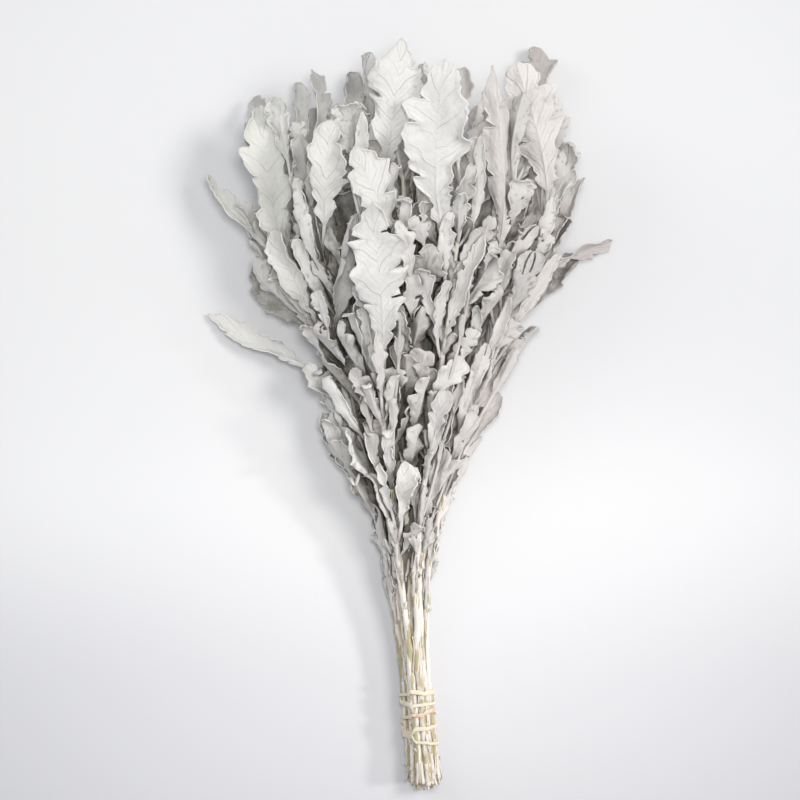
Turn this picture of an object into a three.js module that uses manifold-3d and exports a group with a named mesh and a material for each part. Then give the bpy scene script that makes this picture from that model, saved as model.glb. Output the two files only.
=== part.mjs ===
// A dried bunch of dusty miller lying on a surface: twelve cut leafy stems, held near their cut ends
// by an elastic band wound five times round them.
// Millimetres. +Y runs from the cut ends to the leaf tips, +X to the right, +Z up, and the bunch rests
// on the plane Z = 0. "Reach" is the distance along +Y from the cut ends.
import * as THREE from "three";
import { mergeVertices } from "three/addons/utils/BufferGeometryUtils.js";
import Module from "manifold-3d";

const wasm = await Module();
wasm.setup();

// ---------------------------------------------------------------- driving dimensions

const BUNCH_LENGTH = 450; // from the cut ends to the furthest leaf tip
const MIDDLE = BUNCH_LENGTH / 2; // reach of the origin

const STEM_RADIUS = 2.25; // at the cut end
const STEM_TIP_RADIUS = 1.3;
const STEM_SIDES = 6;
const STEM_PITCH = 4.8; // between neighbours inside the band
const ROW_PITCH = STEM_PITCH * Math.sin(Math.PI / 3);
const STEM_ROWS = [3, 4, 3, 2]; // stems in each row, from the surface up
const CUT_STAGGER = 12; // how unevenly the ends are cut
const STEM_REACH = 372; // of a stem in the middle
const STEM_REACH_LOSS = 46; // of a stem BUNDLE_RADIUS pitches away from it
const BUNDLE_RADIUS = 2.13;

const BAND_WIDTH = 3.2;
const BAND_THICKNESS = 1.1;
const BAND_GAP = 0.35; // between band and stems
const BAND_FLATS = [30, 90, 150]; // directions, in degrees, of its flats in half a turn
const FLAT_END = 0.5; // a flat's two ends lie this many degrees either side of its direction
// Reach of the band at each half turn, right side then left, over the top first. Under the stems its
// last run crosses the others and closes the loop.
const BAND_REACHES = [59, 60.5, 54.5, 54, 50, 43.5, 39, 38.5, 31, 32.5];

const TIE_LOW = 26; // below this reach the cut ends splay
const TIE_HIGH = 72; // above this reach the stems fan out
const FAN_REACH = 350; // where the fan is as wide as the next three values say
const FAN_POWER = 1.9; // how late the stems part: 1 opens the fan evenly
const RISE_POWER = 0.6; // how soon the head's middle rises, as the fan opens
const SIDE_SPREAD = 11.2; // growth of the sideways pitch
const DEPTH_SPREAD = 4.3; // growth of the row pitch
const HEAD_HEIGHT = 50; // height of the head's middle
const END_SPLAY = 0.18; // growth of both pitches at the cut ends
const BASE_LEAN = 10.5; // the cut ends lie this far to the right of the head
const HEAD_LEAN = -1.5;
const LEAN_REACH = 130; // the stems lean up to here
const STEM_BENDS = [TIE_LOW, TIE_HIGH, LEAN_REACH, 185, 235, 280, 322]; // where their sections lie

const BLADE_THICKNESS = 0.7;
const RIB_THICKNESS = 1.2;
const STALK_HALF_WIDTH = 1;
const LOBE_END = 0.58; // where between its notches a lobe reaches furthest
const BLADE_SLANT = 0.25; // how far forward the blade's edge is drawn, for each unit of width
const LEAF_GAP = 0.35; // least gap between a blade and anything but its own stalk
const DOME_HEIGHT = 58; // of the head's top above its middle
const SURFACE_CLEARANCE = 0.65;
const SURFACE_SOFTNESS = 7; // over this height the leaves bend to lie along the surface

const degrees = THREE.MathUtils.degToRad;
const lerp = THREE.MathUtils.lerp;
const clamp = THREE.MathUtils.clamp;
const smoothstep = THREE.MathUtils.smoothstep;
const GOLDEN_ANGLE = degrees(137.508);

// The draws of one numbered thing, such as a leaf: the same number gives the same draws.
function seeded(number) {
  const range = 2 ** 32;
  let state = (number * 2654435761) % range;
  const draw = (low = 0, high = 1) => {
    state = (state * 1664525 + 1013904223) % range;
    return low + (high - low) * (state / range);
  };
  draw();
  draw();
  return draw;
}

// ---------------------------------------------------------------- solids from points

function solidOf(points, triangles) {
  const flat = new Float32Array(points.flatMap((p) => [p.x, p.y, p.z]));
  const geometry = new THREE.BufferGeometry();
  geometry.setAttribute("position", new THREE.BufferAttribute(flat, 3));
  geometry.setIndex(triangles.flat());
  const merged = mergeVertices(geometry, 1e-4);
  const vertProperties = merged.attributes.position.array;
  const triVerts = new Uint32Array(merged.index.array);
  return new wasm.Manifold(new wasm.Mesh({ numProp: 3, vertProperties, triVerts }));
}

// Joins rings of equally many points, which go round anticlockwise as seen from the last ring.
function loft(rings) {
  const count = rings[0].length;
  const triangles = [];
  for (let ring = 0; ring + 1 < rings.length; ring += 1) {
    for (let i = 0; i < count; i += 1) {
      const a = ring * count + i;
      const b = ring * count + ((i + 1) % count);
      triangles.push([a, b, b + count], [a, b + count, a + count]);
    }
  }
  const last = (rings.length - 1) * count;
  for (let i = 1; i + 1 < count; i += 1) {
    triangles.push([0, i + 1, i], [last, last + i, last + i + 1]);
  }
  return solidOf(rings.flat(), triangles);
}

// Makes a sheet of triangles into a closed solid, half its thickness to each side.
function thicken({ points, thickness }, triangles) {
  const normals = points.map(() => new THREE.Vector3());
  const face = new THREE.Triangle();
  const normal = new THREE.Vector3();
  const open = new Map();
  for (const corners of triangles) {
    face.set(...corners.map((i) => points[i]));
    face.getNormal(normal).multiplyScalar(face.getArea());
    corners.forEach((from, i) => {
      const to = corners[(i + 1) % 3];
      normals[from].add(normal);
      if (!open.delete(`${to},${from}`)) open.set(`${from},${to}`, [from, to]);
    });
  }
  normals.forEach((n) => n.normalize());
  const side = (sign) =>
    points.map((p, i) => p.clone().addScaledVector(normals[i], (sign * thickness[i]) / 2));
  const count = points.length;
  const faces = triangles.flatMap(([a, b, c]) => [
    [a, b, c],
    [a + count, c + count, b + count],
  ]);
  for (const [a, b] of open.values()) {
    faces.push([b, a, a + count], [b, a + count, b + count]);
  }
  return solidOf([...side(1), ...side(-1)], faces);
}

// ---------------------------------------------------------------- stems

const fan = (reach) => Math.max(0, (reach - TIE_HIGH) / (FAN_REACH - TIE_HIGH)) ** FAN_POWER;
const splay = (reach) => END_SPLAY * Math.max(0, 1 - reach / TIE_LOW) ** 1.3;

const lowestRow = BAND_THICKNESS + BAND_GAP + STEM_RADIUS;
const tieHeight = lowestRow + ((STEM_ROWS.length - 1) / 2) * ROW_PITCH;
const lean = (reach) => BASE_LEAN * Math.max(0, 1 - reach / LEAN_REACH) + HEAD_LEAN * fan(reach);
const headMiddle = (reach) => tieHeight + (HEAD_HEIGHT - tieHeight) * fan(reach) ** RISE_POWER;

// Across and layer are a stem's place in the band, in pitches from the middle.
function makeStem(number, across, layer) {
  const draw = seeded(number);
  const away = Math.hypot(across, layer) / BUNDLE_RADIUS;
  return {
    number,
    across,
    layer,
    start: draw(0, CUT_STAGGER),
    end: STEM_REACH - STEM_REACH_LOSS * away ** 2 + draw(-8, 8),
    leanX: draw(-7, 7),
    leanZ: draw(-4, 4),
    bow: draw(-5, 5),
    turn: draw(0, 2 * Math.PI),
    cutSlant: draw(-0.8, 0.8),
  };
}

const fromMiddle = (i, count) => i - (count - 1) / 2;
const places = STEM_ROWS.flatMap((count, row) =>
  Array.from({ length: count }, (_, i) => [fromMiddle(i, count), fromMiddle(row, STEM_ROWS.length)]),
);
const stems = places.map(([across, layer], i) => makeStem(i + 1, across, layer));

function stemPoint(stem, reach) {
  const open = fan(reach);
  const side = 1 + SIDE_SPREAD * open + splay(reach);
  const depth = 1 + DEPTH_SPREAD * open + splay(reach);
  const bow = stem.bow * Math.sin(Math.PI * clamp(open, 0, 1));
  return new THREE.Vector3(
    lean(reach) + stem.across * STEM_PITCH * side + stem.leanX * open + bow,
    reach - MIDDLE,
    headMiddle(reach) + stem.layer * ROW_PITCH * depth + stem.leanZ * open,
  );
}

function stemDirection(stem, reach) {
  return stemPoint(stem, reach + 1).sub(stemPoint(stem, reach - 1)).normalize();
}

function stemRadius(stem, reach) {
  const along = (reach - stem.start) / (stem.end - stem.start);
  return lerp(STEM_RADIUS, STEM_TIP_RADIUS, along ** 1.2);
}

function stemRing(stem, reach) {
  const along = stemDirection(stem, reach);
  const side = new THREE.Vector3(1, 0, 0).addScaledVector(along, -along.x).normalize();
  const down = along.clone().cross(side);
  const radius = stemRadius(stem, reach);
  const slant = reach === stem.start ? stem.cutSlant : 0;
  return Array.from({ length: STEM_SIDES }, (_, corner) => {
    const angle = (2 * Math.PI * corner) / STEM_SIDES;
    return stemPoint(stem, reach)
      .addScaledVector(side, radius * Math.cos(angle))
      .addScaledVector(down, radius * Math.sin(angle))
      .addScaledVector(along, radius * Math.cos(angle) * slant);
  });
}

function stemSolid(stem) {
  const bends = STEM_BENDS.filter((reach) => reach < stem.end - 8);
  return loft([stem.start, ...bends, stem.end].map((reach) => stemRing(stem, reach)));
}

// ---------------------------------------------------------------- one leaf

const lobeSizes = (draw, lobes) => Array.from({ length: 2 * lobes }, () => draw(0.65, 1.2));

// The half width of a leaf at t, from 0 at its root to 1 at its tip: a stalk, then a lobed blade.
function halfWidth(leaf, t, side) {
  const v = (t - leaf.stalk) / (1 - leaf.stalk);
  if (v <= 0) return STALK_HALF_WIDTH;
  const outline = Math.sin(Math.PI * Math.min(v, 1) ** leaf.widest) ** 0.7;
  const lobe = Math.min(Math.floor(v * leaf.lobes), leaf.lobes - 1);
  const swell = Math.abs(Math.sin(Math.PI * (v * leaf.lobes - lobe))) ** 0.8;
  const size = leaf.sizes[side > 0 ? lobe : leaf.lobes + lobe];
  const cut = leaf.notch * (1 - swell * size);
  return STALK_HALF_WIDTH * (1 - v) + leaf.halfWidth * outline * (1 - cut);
}

// The surface bends what would go below it so that it lies along it. Roots stay on their stems.
function aboveSurface(p, t) {
  const raised = SURFACE_SOFTNESS * Math.log1p(Math.exp(p.z / SURFACE_SOFTNESS));
  p.z = lerp(p.z, SURFACE_CLEARANCE + raised, smoothstep(t, 0, 0.25));
  return p;
}

// A point of the leaf. Side is -1 or 1, and out is its distance from the rib, measured on the blade,
// which is folded at the rib, curled towards its edges and waved along them.
function leafPoint(leaf, t, side, out) {
  const along = leaf.spine.getTangent(t);
  const up = leaf.facing.clone().addScaledVector(along, -leaf.facing.dot(along)).normalize();
  up.applyAxisAngle(along, degrees(lerp(leaf.rollAtRoot, leaf.rollAtTip, t)));
  const across = along.clone().cross(up);
  const open = clamp((t - leaf.stalk) / 0.2, 0, 1);
  const wave = leaf.wave * Math.sin(2 * Math.PI * leaf.waves * t + leaf.phase + 2.1 * side);
  const fold = open * (leaf.fold + wave);
  const curl = (open * leaf.curl * out) / leaf.halfWidth + 1e-6;
  const p = leaf.spine
    .getPoint(t)
    .addScaledVector(across, (side * out * (Math.sin(fold + curl) - Math.sin(fold))) / curl)
    .addScaledVector(up, (out * (Math.cos(fold) - Math.cos(fold + curl))) / curl)
    .addScaledVector(along, open * BLADE_SLANT * out);
  return aboveSurface(p, t);
}

// A leaf as a sheet, grown by a margin all round. Its rib has a point at each notch and at the tip, and
// each edge has a point at the root, at each notch and at each lobe's end.
function leafSheet(leaf, margin = 0) {
  const notchAt = (i) => leaf.stalk + (1 - leaf.stalk) * (i / leaf.lobes);
  const edge = (t, side) => leafPoint(leaf, t, side, halfWidth(leaf, t, side) + margin);
  const points = [];
  for (let i = 0; i <= leaf.lobes; i += 1) points.push(leafPoint(leaf, notchAt(i), 1, 0));
  points[leaf.lobes].addScaledVector(leaf.spine.getTangent(1), margin);
  const roots = [];
  const blade = [];
  for (const side of [1, -1]) {
    const face = (a, b, c) => (side > 0 ? [a, b, c] : [a, c, b]);
    roots.push(points.length);
    points.push(edge(0, side), edge(notchAt(0), side));
    for (let i = 0; i < leaf.lobes; i += 1) {
      const notch = points.length - 1;
      points.push(edge(notchAt(i + LOBE_END), side));
      blade.push(face(i, notch, notch + 1), face(i, notch + 1, i + 1));
      if (i + 1 < leaf.lobes) {
        points.push(edge(notchAt(i + 1), side));
        blade.push(face(i + 1, notch + 1, notch + 2));
      }
    }
  }
  const [right, left] = roots;
  const stalk = [
    [right, right + 1, left + 1],
    [right, left + 1, left],
    [right + 1, 0, left + 1],
  ];
  const isThick = (i) => i < leaf.lobes || roots.includes(i);
  const thickness = points.map((_, i) => (isThick(i) ? RIB_THICKNESS : BLADE_THICKNESS) + 2 * margin);
  return { points, stalk, blade, thickness };
}

// ---------------------------------------------------------------- the head's shape

// Reach, left edge and right edge of the space that the smaller leaves keep within.
const HEAD_OUTLINE = [
  [140, -17, 18],
  [172, -30, 27],
  [196, -48, 36],
  [232, -58, 56],
  [268, -88, 72],
  [310, -96, 94],
  [345, -108, 104],
  [380, -108, 106],
  [405, -96, 98],
  [425, -66, 84],
  [450, -20, 60],
];

function headEdges(reach) {
  const next = HEAD_OUTLINE.findIndex(([row]) => row > reach);
  if (next <= 0) return HEAD_OUTLINE.at(next).slice(1);
  const [low, high] = [HEAD_OUTLINE[next - 1], HEAD_OUTLINE[next]];
  const share = (reach - low[0]) / (high[0] - low[0]);
  return [lerp(low[1], high[1], share), lerp(low[2], high[2], share)];
}

// Height of the head's upper surface over a point.
function domeHeight(x, y) {
  const reach = y + MIDDLE;
  const [left, right] = headEdges(reach);
  const off = Math.abs(x - (left + right) / 2) / ((right - left) / 2);
  const swell = clamp(lerp(0.3, 1, fan(reach)), 0, 1);
  return headMiddle(reach) + DOME_HEIGHT * swell * (1 - Math.min(off, 1.25) ** 1.8);
}

function isInHead(points) {
  return points.every(({ x, y, z }) => {
    const [left, right] = headEdges(y + MIDDLE);
    return x > left && x < right && y < MIDDLE - 8 && z < domeHeight(x, y) + 2;
  });
}

// ---------------------------------------------------------------- leaves placed by hand

// The leaves that make the head's outline and its upper face. A blade runs from its base to its tip, both
// [x, y], at a depth below the dome. Roll turns it about its rib, in degrees, fold and curl lift its
// halves, in radians, and bow arches it.
const SHOWN_LEAVES = [
  // base, tip, width, depth, lobes, notch, roll, fold, curl, bow
  [-10, 44, -22, 128, 40, 0, 5, 0.35, 8, 0.1, 0.45, 9],
  [-3, 98, -32, 158, 32, 5, 4, 0.3, 22, 0.15, 0.5, 8],
  [10, 112, 21, 208, 42, 5, 5, 0.22, -14, 0.12, -0.45, 8],
  [-13, 132, -3, 221, 36, 10, 5, 0.2, 4, 0.08, 0.35, 6],
  [88, 137, 63, 209, 38, 3, 5, 0.3, -8, -0.1, -0.5, 6],
  [66, 100, 48, 206, 26, 5, 4, 0.25, 24, -0.5, -0.9, 6],
  [-80, 90, -86, 188, 34, 3, 5, 0.3, 10, 0.1, 0.55, 8],
  [-48, 112, -45, 174, 30, 4, 4, 0.25, -6, 0.1, 0.5, 6],
  [-44, 50, -34, 124, 22, 12, 3, 0.3, 34, 0.4, 0.9, 4],
  [-55, 57, -80, 112, 22, 10, 4, 0.2, -22, 0.2, 0.6, 4],
  [21, 52, 47, 108, 18, 6, 3, 0.2, -30, 0.35, 0.8, 5],
  [18, 112, 38, 148, 20, 8, 3, 0.3, 20, 0.5, 0.5, 4],
  [26, 124, 49, 176, 30, 20, 4, 0.3, -20, 0.3, 0.6, 5],
  [-16, 14, -18, 52, 15, 6, 3, 0.3, 26, 0.3, 0.7, 3],
  [-18, 6, -33, 30, 18, 5, 3, 0.5, -10, 0.2, 0.6, 3],
  [8, 10, 34, 38, 18, 6, 3, 0.3, 14, 0.3, 0.5, 3],
  [-34, 4, -62, 34, 17, 12, 3, 0.3, 14, 0.3, 0.7, 3],
  [37, 10, 52, 46, 17, 12, 3, 0.3, -24, 0.3, 0.7, 3],
  [37, -16, 56, 16, 17, 18, 3, 0.3, -14, 0.2, 0.6, 3],
  [-2, -60, -2, -24, 19, 0, 3, 0.3, 4, 0.2, 0.7, 3],
  [-38, -34, -52, 4, 17, 14, 3, 0.4, 22, 0.3, 0.7, 2],
  [86, 100, 105, 144, 16, 10, 3, 0.3, -34, 0.4, 0.7, 4],
  [86, 92, 123, 109, 15, 18, 3, 0.3, 34, 0.5, 0.7, 3],
  [82, 68, 102, 99, 18, 24, 3, 0.35, -30, 0.2, 0.5, 2],
  [-88, 104, -123, 143, 17, 14, 4, 0.3, 36, 0.5, 0.7, 4],
  [-62, 34, -121, 60, 19, 24, 4, 0.25, 22, 0.4, 0.6, 4],
  [-66, 57, -93, 91, 24, 28, 4, 0.3, -30, 0.2, 0.4, 2],
  [-44, 160, -57, 208, 16, 10, 3, 0.3, 30, 0.4, 0.7, 3],
  [-84, 162, -92, 194, 16, 22, 3, 0.3, -26, 0.2, 0.5, 2],
  [-28, 168, -34, 204, 17, 25, 3, 0.3, 16, 0.2, 0.5, 2],
  [90, 168, 77, 225, 24, 30, 4, 0.5, 12, 0.1, 0.3, 3],
  [34, 168, 33, 205, 17, 24, 3, 0.3, -20, 0.2, 0.5, 2],
  [14, -16, 22, 18, 15, 3, 2, 0.35, -16, 0.3, 0.6, 3],
  [25, -26, 40, 5, 15, 5, 2, 0.35, 18, 0.2, 0.6, 2],
  [13, -47, 23, -17, 14, 3, 2, 0.4, -10, 0.3, 0.7, 2],
  [-16, -34, -25, -7, 14, 3, 2, 0.4, 20, 0.3, 0.7, 2],
  [-9, -54, -17, -26, 12, 3, 2, 0.4, -20, 0.3, 0.7, 2],
];

const ROOT_SETBACK = 15; // a shown leaf's root lies this much nearer the cut ends than its blade
const CARRIER_CHOICES = 4; // stems that a shown leaf tries, at each of these changes in height
const HEIGHT_CHANGES = [0, -3, 3, -6, 6, -9, 9, -12, 12, -16, 16, -20, 20, -26];
const BASE_SINK = 6; // depth of a shown blade's rib below where its face is said to be
const TIP_SINK = 4;

// The stems that can carry a shown leaf, with its root on them, the one closest to its base first.
function carriers([baseX, baseY]) {
  const reach = baseY + MIDDLE - ROOT_SETBACK;
  return stems
    .filter((stem) => stem.end > reach - 12)
    .map((stem) => {
      const root = stemPoint(stem, Math.min(reach, stem.end - 2));
      const above = domeHeight(baseX, baseY) - root.z;
      return { stem, root, cost: Math.abs(root.x - baseX) + 0.7 * Math.abs(above) };
    })
    .sort((a, b) => a.cost - b.cost)
    .slice(0, CARRIER_CHOICES);
}

function shownLeaf(number, { stem, root }, heightChange) {
  const [baseX, baseY, tipX, tipY, width, depth, ...form] = SHOWN_LEAVES[number];
  const [lobes, notch, roll, fold, curl, bow] = form;
  const draw = seeded(500 + number);
  const height = (x, y) => domeHeight(x, y) - depth + heightChange;
  const base = new THREE.Vector3(baseX, baseY, height(baseX, baseY) - BASE_SINK);
  const tip = new THREE.Vector3(tipX, tipY, height(tipX, tipY) - TIP_SINK);
  const stalkLength = root.distanceTo(base);
  const stalk = (0.9 * stalkLength) / (stalkLength + base.distanceTo(tip));
  const arch = base.clone().lerp(tip, 0.5);
  arch.z += bow;
  return {
    stem,
    spine: new THREE.CubicBezierCurve3(root, root.clone().lerp(base, 0.9), arch, tip),
    facing: new THREE.Vector3(0, 0, 1),
    rollAtRoot: roll * 0.5,
    rollAtTip: roll * 1.3,
    stalk: clamp(stalk, 0.1, 0.6),
    halfWidth: width / 2,
    widest: draw(1.35, 1.8),
    lobes,
    notch,
    sizes: lobeSizes(draw, lobes),
    fold,
    curl,
    wave: 0.22,
    waves: 2.2,
    phase: draw(0, 2 * Math.PI),
  };
}

// ---------------------------------------------------------------- leaves placed by rule

const LEAVES_PER_STEM = 12;
const ATTEMPTS = 40; // each with another direction, and a little smaller
const LOWEST_LEAF = 140; // reach of the lowest roots
const LOWEST_LENGTH = 35;
const HIGHEST_LENGTH = 82;

function ruledLeaf(stem, index, attempt) {
  const draw = seeded(stem.number * 100 + index);
  const height = index / (LEAVES_PER_STEM - 1);
  const wobble = ((attempt * 7) % 5) - 2;
  const reach = lerp(LOWEST_LEAF + draw(0, 14), stem.end - 3, height ** 1.25);
  const length = lerp(LOWEST_LENGTH, HIGHEST_LENGTH, height) * draw(0.88, 1.12) * 0.988 ** attempt;
  const lobes = length > 70 ? 4 : length > 50 ? 3 : 2;

  const axis = stemDirection(stem, reach);
  const outward = new THREE.Vector3(0, 0, 1).addScaledVector(axis, -axis.z).normalize();
  outward.applyAxisAngle(axis, stem.turn + index * GOLDEN_ANGLE + attempt * degrees(49));
  const leaving = degrees(lerp(48, 30, height) + 5 * wobble);
  const ending = degrees(lerp(26, 6, height) + draw(-10, 10) - 4 * wobble);
  const heading = (angle, distance) =>
    new THREE.Vector3()
      .addScaledVector(axis, distance * Math.cos(angle))
      .addScaledVector(outward, distance * Math.sin(angle));
  const root = stemPoint(stem, reach);
  const tip = root.clone().add(heading((leaving + ending) / 2, length));
  const facing = outward.clone().multiplyScalar(-1);
  facing.z += (draw() < 0.5 ? -0.9 : 0.9) * (1 - Math.abs(outward.z));
  const roll = draw(-22, 22) + 8 * wobble;
  return {
    stem,
    spine: new THREE.CubicBezierCurve3(
      root,
      root.clone().add(heading(leaving, length * 0.35)),
      tip.clone().sub(heading(ending, length * 0.35)),
      tip,
    ),
    facing,
    rollAtRoot: roll * 0.3,
    rollAtTip: roll * 1.6,
    stalk: lerp(0.16, 0.26, height),
    halfWidth: (length * lerp(0.46, 0.36, height) * draw(0.9, 1.1)) / 2,
    widest: draw(1.15, 1.7),
    lobes,
    notch: lerp(0.5, 0.3, height) * draw(0.8, 1.2),
    sizes: lobeSizes(draw, lobes),
    fold: draw(-0.15, 0.4),
    curl: draw(0.1, 0.8) * (draw() < 0.75 ? 1 : -1),
    wave: 0.22,
    waves: 2.2,
    phase: draw(0, 2 * Math.PI),
  };
}

// ---------------------------------------------------------------- growing the bunch

const bareStems = new Map(stems.map((stem) => [stem, stemSolid(stem)]));
const grown = [];

function boxesMeet(a, b) {
  const [boxA, boxB] = [a.boundingBox(), b.boundingBox()];
  return [0, 1, 2].every((axis) => boxA.min[axis] < boxB.max[axis] && boxB.min[axis] < boxA.max[axis]);
}

const meet = (a, b) => boxesMeet(a, b) && !a.intersect(b).isEmpty();

// Leaves of one stem may meet where their stalks leave it. Nothing else may.
function leavesAreClear(a, b) {
  if (a.stem !== b.stem) return !meet(a.space, b.solid);
  return !meet(a.bladeSpace, b.solid) && !meet(a.solid, b.bladeSpace);
}

function isClear(leaf) {
  const stemsAreClear = stems.every((stem) => {
    const space = stem === leaf.stem ? leaf.bladeSpace : leaf.space;
    return !meet(space, bareStems.get(stem));
  });
  return stemsAreClear && grown.every((other) => leavesAreClear(leaf, other));
}

// Keeps a leaf if it is clear of all that is there, and says whether it is.
function grow(leaf) {
  const sheet = leafSheet(leaf);
  const roomy = leafSheet(leaf, LEAF_GAP);
  const made = {
    stem: leaf.stem,
    solid: thicken(sheet, [...sheet.stalk, ...sheet.blade]),
    space: thicken(roomy, [...roomy.stalk, ...roomy.blade]),
    bladeSpace: thicken(roomy, roomy.blade),
  };
  const clear = isClear(made);
  if (clear) grown.push(made);
  return clear;
}

function growShownLeaf(number) {
  const choices = carriers(SHOWN_LEAVES[number]);
  return HEIGHT_CHANGES.some((change) => choices.some((choice) => grow(shownLeaf(number, choice, change))));
}

function growRuledLeaf(stem, index) {
  for (let attempt = 0; attempt < ATTEMPTS; attempt += 1) {
    const leaf = ruledLeaf(stem, index, attempt);
    if (isInHead(leafSheet(leaf).points) && grow(leaf)) return;
  }
}

SHOWN_LEAVES.forEach((_, number) => growShownLeaf(number));
for (let index = LEAVES_PER_STEM - 1; index >= 0; index -= 1) {
  stems.forEach((stem) => growRuledLeaf(stem, index));
}

function leafyStemSolid(stem) {
  const own = grown.filter((leaf) => leaf.stem === stem);
  return wasm.Manifold.union([bareStems.get(stem), ...own.map((leaf) => leaf.solid)]);
}

// ---------------------------------------------------------------- the band

// How far the stems reach towards an angle from +X, measured to their middles.
function supportOf(reach, angle) {
  const distances = stems.map((stem) => {
    const p = stemPoint(stem, Math.max(reach, TIE_LOW));
    return p.x * Math.cos(angle) + p.z * Math.sin(angle);
  });
  return Math.max(...distances);
}

// The band's four corners at a share of a half turn.
function bandRing(halfTurn, share) {
  const from = BAND_REACHES[halfTurn];
  const to = BAND_REACHES[(halfTurn + 1) % BAND_REACHES.length];
  const reach = lerp(from, to, smoothstep(share, 0, 1));
  const angle = Math.PI * (halfTurn + share);
  const nudge = 1e-3;
  const change = supportOf(reach, angle + nudge) - supportOf(reach, angle - nudge);
  const outward = new THREE.Vector3(Math.cos(angle), 0, Math.sin(angle));
  const along = new THREE.Vector3(-Math.sin(angle), 0, Math.cos(angle));
  const inside = supportOf(reach, angle) + STEM_RADIUS + BAND_GAP;
  const outside = inside + BAND_THICKNESS;
  const corner = (out, y) =>
    new THREE.Vector3(0, y, 0).addScaledVector(outward, out).addScaledVector(along, change / (2 * nudge));
  const low = reach - MIDDLE - BAND_WIDTH / 2;
  const high = low + BAND_WIDTH;
  return [corner(inside, low), corner(outside, low), corner(outside, high), corner(inside, high)];
}

function bandRun(firstHalfTurn, halfTurns) {
  const rings = [bandRing(firstHalfTurn, 0)];
  for (let halfTurn = firstHalfTurn; halfTurn < firstHalfTurn + halfTurns; halfTurn += 1) {
    for (const flat of BAND_FLATS) {
      const angles = [flat - FLAT_END, flat + FLAT_END, Math.min(flat + 30, 180)];
      rings.push(...angles.map((angle) => bandRing(halfTurn, angle / 180)));
    }
  }
  return loft(rings);
}

function bandSolid() {
  const wound = BAND_REACHES.length - 1;
  return bandRun(0, wound).add(bandRun(wound, 1));
}

// ---------------------------------------------------------------- the bunch

const foliage = new THREE.MeshStandardMaterial({ color: 0xd9d6d1, roughness: 0.95, metalness: 0 });
const elastic = new THREE.MeshStandardMaterial({ color: 0xe6d9b8, roughness: 0.6, metalness: 0 });

function meshOf(solid, name, material) {
  const { numProp, vertProperties, triVerts } = solid.getMesh();
  const interleaved = new THREE.InterleavedBuffer(vertProperties, numProp);
  const geometry = new THREE.BufferGeometry();
  geometry.setAttribute("position", new THREE.InterleavedBufferAttribute(interleaved, 3, 0));
  geometry.setIndex(new THREE.BufferAttribute(triVerts, 1));
  geometry.computeVertexNormals();
  const mesh = new THREE.Mesh(geometry, material);
  mesh.name = name;
  return mesh;
}

const bunch = new THREE.Group();
bunch.name = "dusty_miller_bunch";
for (const stem of stems) {
  const number = String(stem.number).padStart(2, "0");
  bunch.add(meshOf(leafyStemSolid(stem), `leafy_stem_${number}`, foliage));
}
bunch.add(meshOf(bandSolid(), "tie_band", elastic));

export default bunch;
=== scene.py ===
# The looks of a dried, white-coated bunch of dusty miller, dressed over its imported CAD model.
#
# Lengths in this script are millimetres until a mesh is made. +Y runs from the cut ends to the leaf
# tips, +X to the right and +Z up, and "reach" is the distance along +Y from the cut ends. The stems
# and leaves follow the same growth rules as the CAD model. Of the places that a leaf may take, each
# leaf takes the one that it has there, and it is made again with its lobes, veins and curled edges.
import math
from types import SimpleNamespace

import bpy
import numpy as np
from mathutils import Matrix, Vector
from mathutils.bvhtree import BVHTree
from mathutils.kdtree import KDTree


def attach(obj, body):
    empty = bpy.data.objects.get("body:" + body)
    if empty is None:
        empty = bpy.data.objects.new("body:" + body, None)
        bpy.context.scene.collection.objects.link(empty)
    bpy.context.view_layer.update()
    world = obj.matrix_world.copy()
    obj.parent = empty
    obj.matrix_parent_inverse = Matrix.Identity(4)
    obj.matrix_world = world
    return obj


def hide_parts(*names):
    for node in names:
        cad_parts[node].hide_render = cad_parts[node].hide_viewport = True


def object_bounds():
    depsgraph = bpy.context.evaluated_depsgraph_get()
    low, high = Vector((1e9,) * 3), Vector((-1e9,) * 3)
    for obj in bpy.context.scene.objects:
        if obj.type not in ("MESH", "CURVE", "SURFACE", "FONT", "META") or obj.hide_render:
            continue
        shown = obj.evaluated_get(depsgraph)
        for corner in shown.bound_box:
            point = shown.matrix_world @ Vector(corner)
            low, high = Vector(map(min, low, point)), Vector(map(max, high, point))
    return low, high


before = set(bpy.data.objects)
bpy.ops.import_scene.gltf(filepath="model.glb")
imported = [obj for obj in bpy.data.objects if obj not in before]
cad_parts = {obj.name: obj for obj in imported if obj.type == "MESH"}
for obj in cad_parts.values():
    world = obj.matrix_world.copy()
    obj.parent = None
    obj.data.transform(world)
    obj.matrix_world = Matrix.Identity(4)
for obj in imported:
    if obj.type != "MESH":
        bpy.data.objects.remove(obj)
cad_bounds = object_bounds()

MM = 0.001

# Where the numbers of seeded things start.
LAID_SEED = 500
SMALL_SEED = 5000
FORM_SEED = 20000
COLOUR_SEED = 30000
STEM_SEED = 40000
STYLE_SEED = 60000
COVER_SEED = 80000
EDGE_SEED = 90000

# ---- growth rules, as in the CAD model

BUNCH_LENGTH = 450
MIDDLE = BUNCH_LENGTH / 2
STEM_RADIUS = 2.25
STEM_TIP_RADIUS = 1.3
STEM_PITCH = 4.8
ROW_PITCH = STEM_PITCH * math.sin(math.pi / 3)
STEM_ROWS = [3, 4, 3, 2]
CUT_STAGGER = 12
STEM_REACH = 372
STEM_REACH_LOSS = 46
BUNDLE_RADIUS = 2.13

BAND_WIDTH = 3.2
BAND_THICKNESS = 1.1
BAND_GAP = 0.35
BAND_REACHES = [59, 60.5, 54.5, 54, 50, 43.5, 39, 38.5, 31, 32.5]

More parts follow.
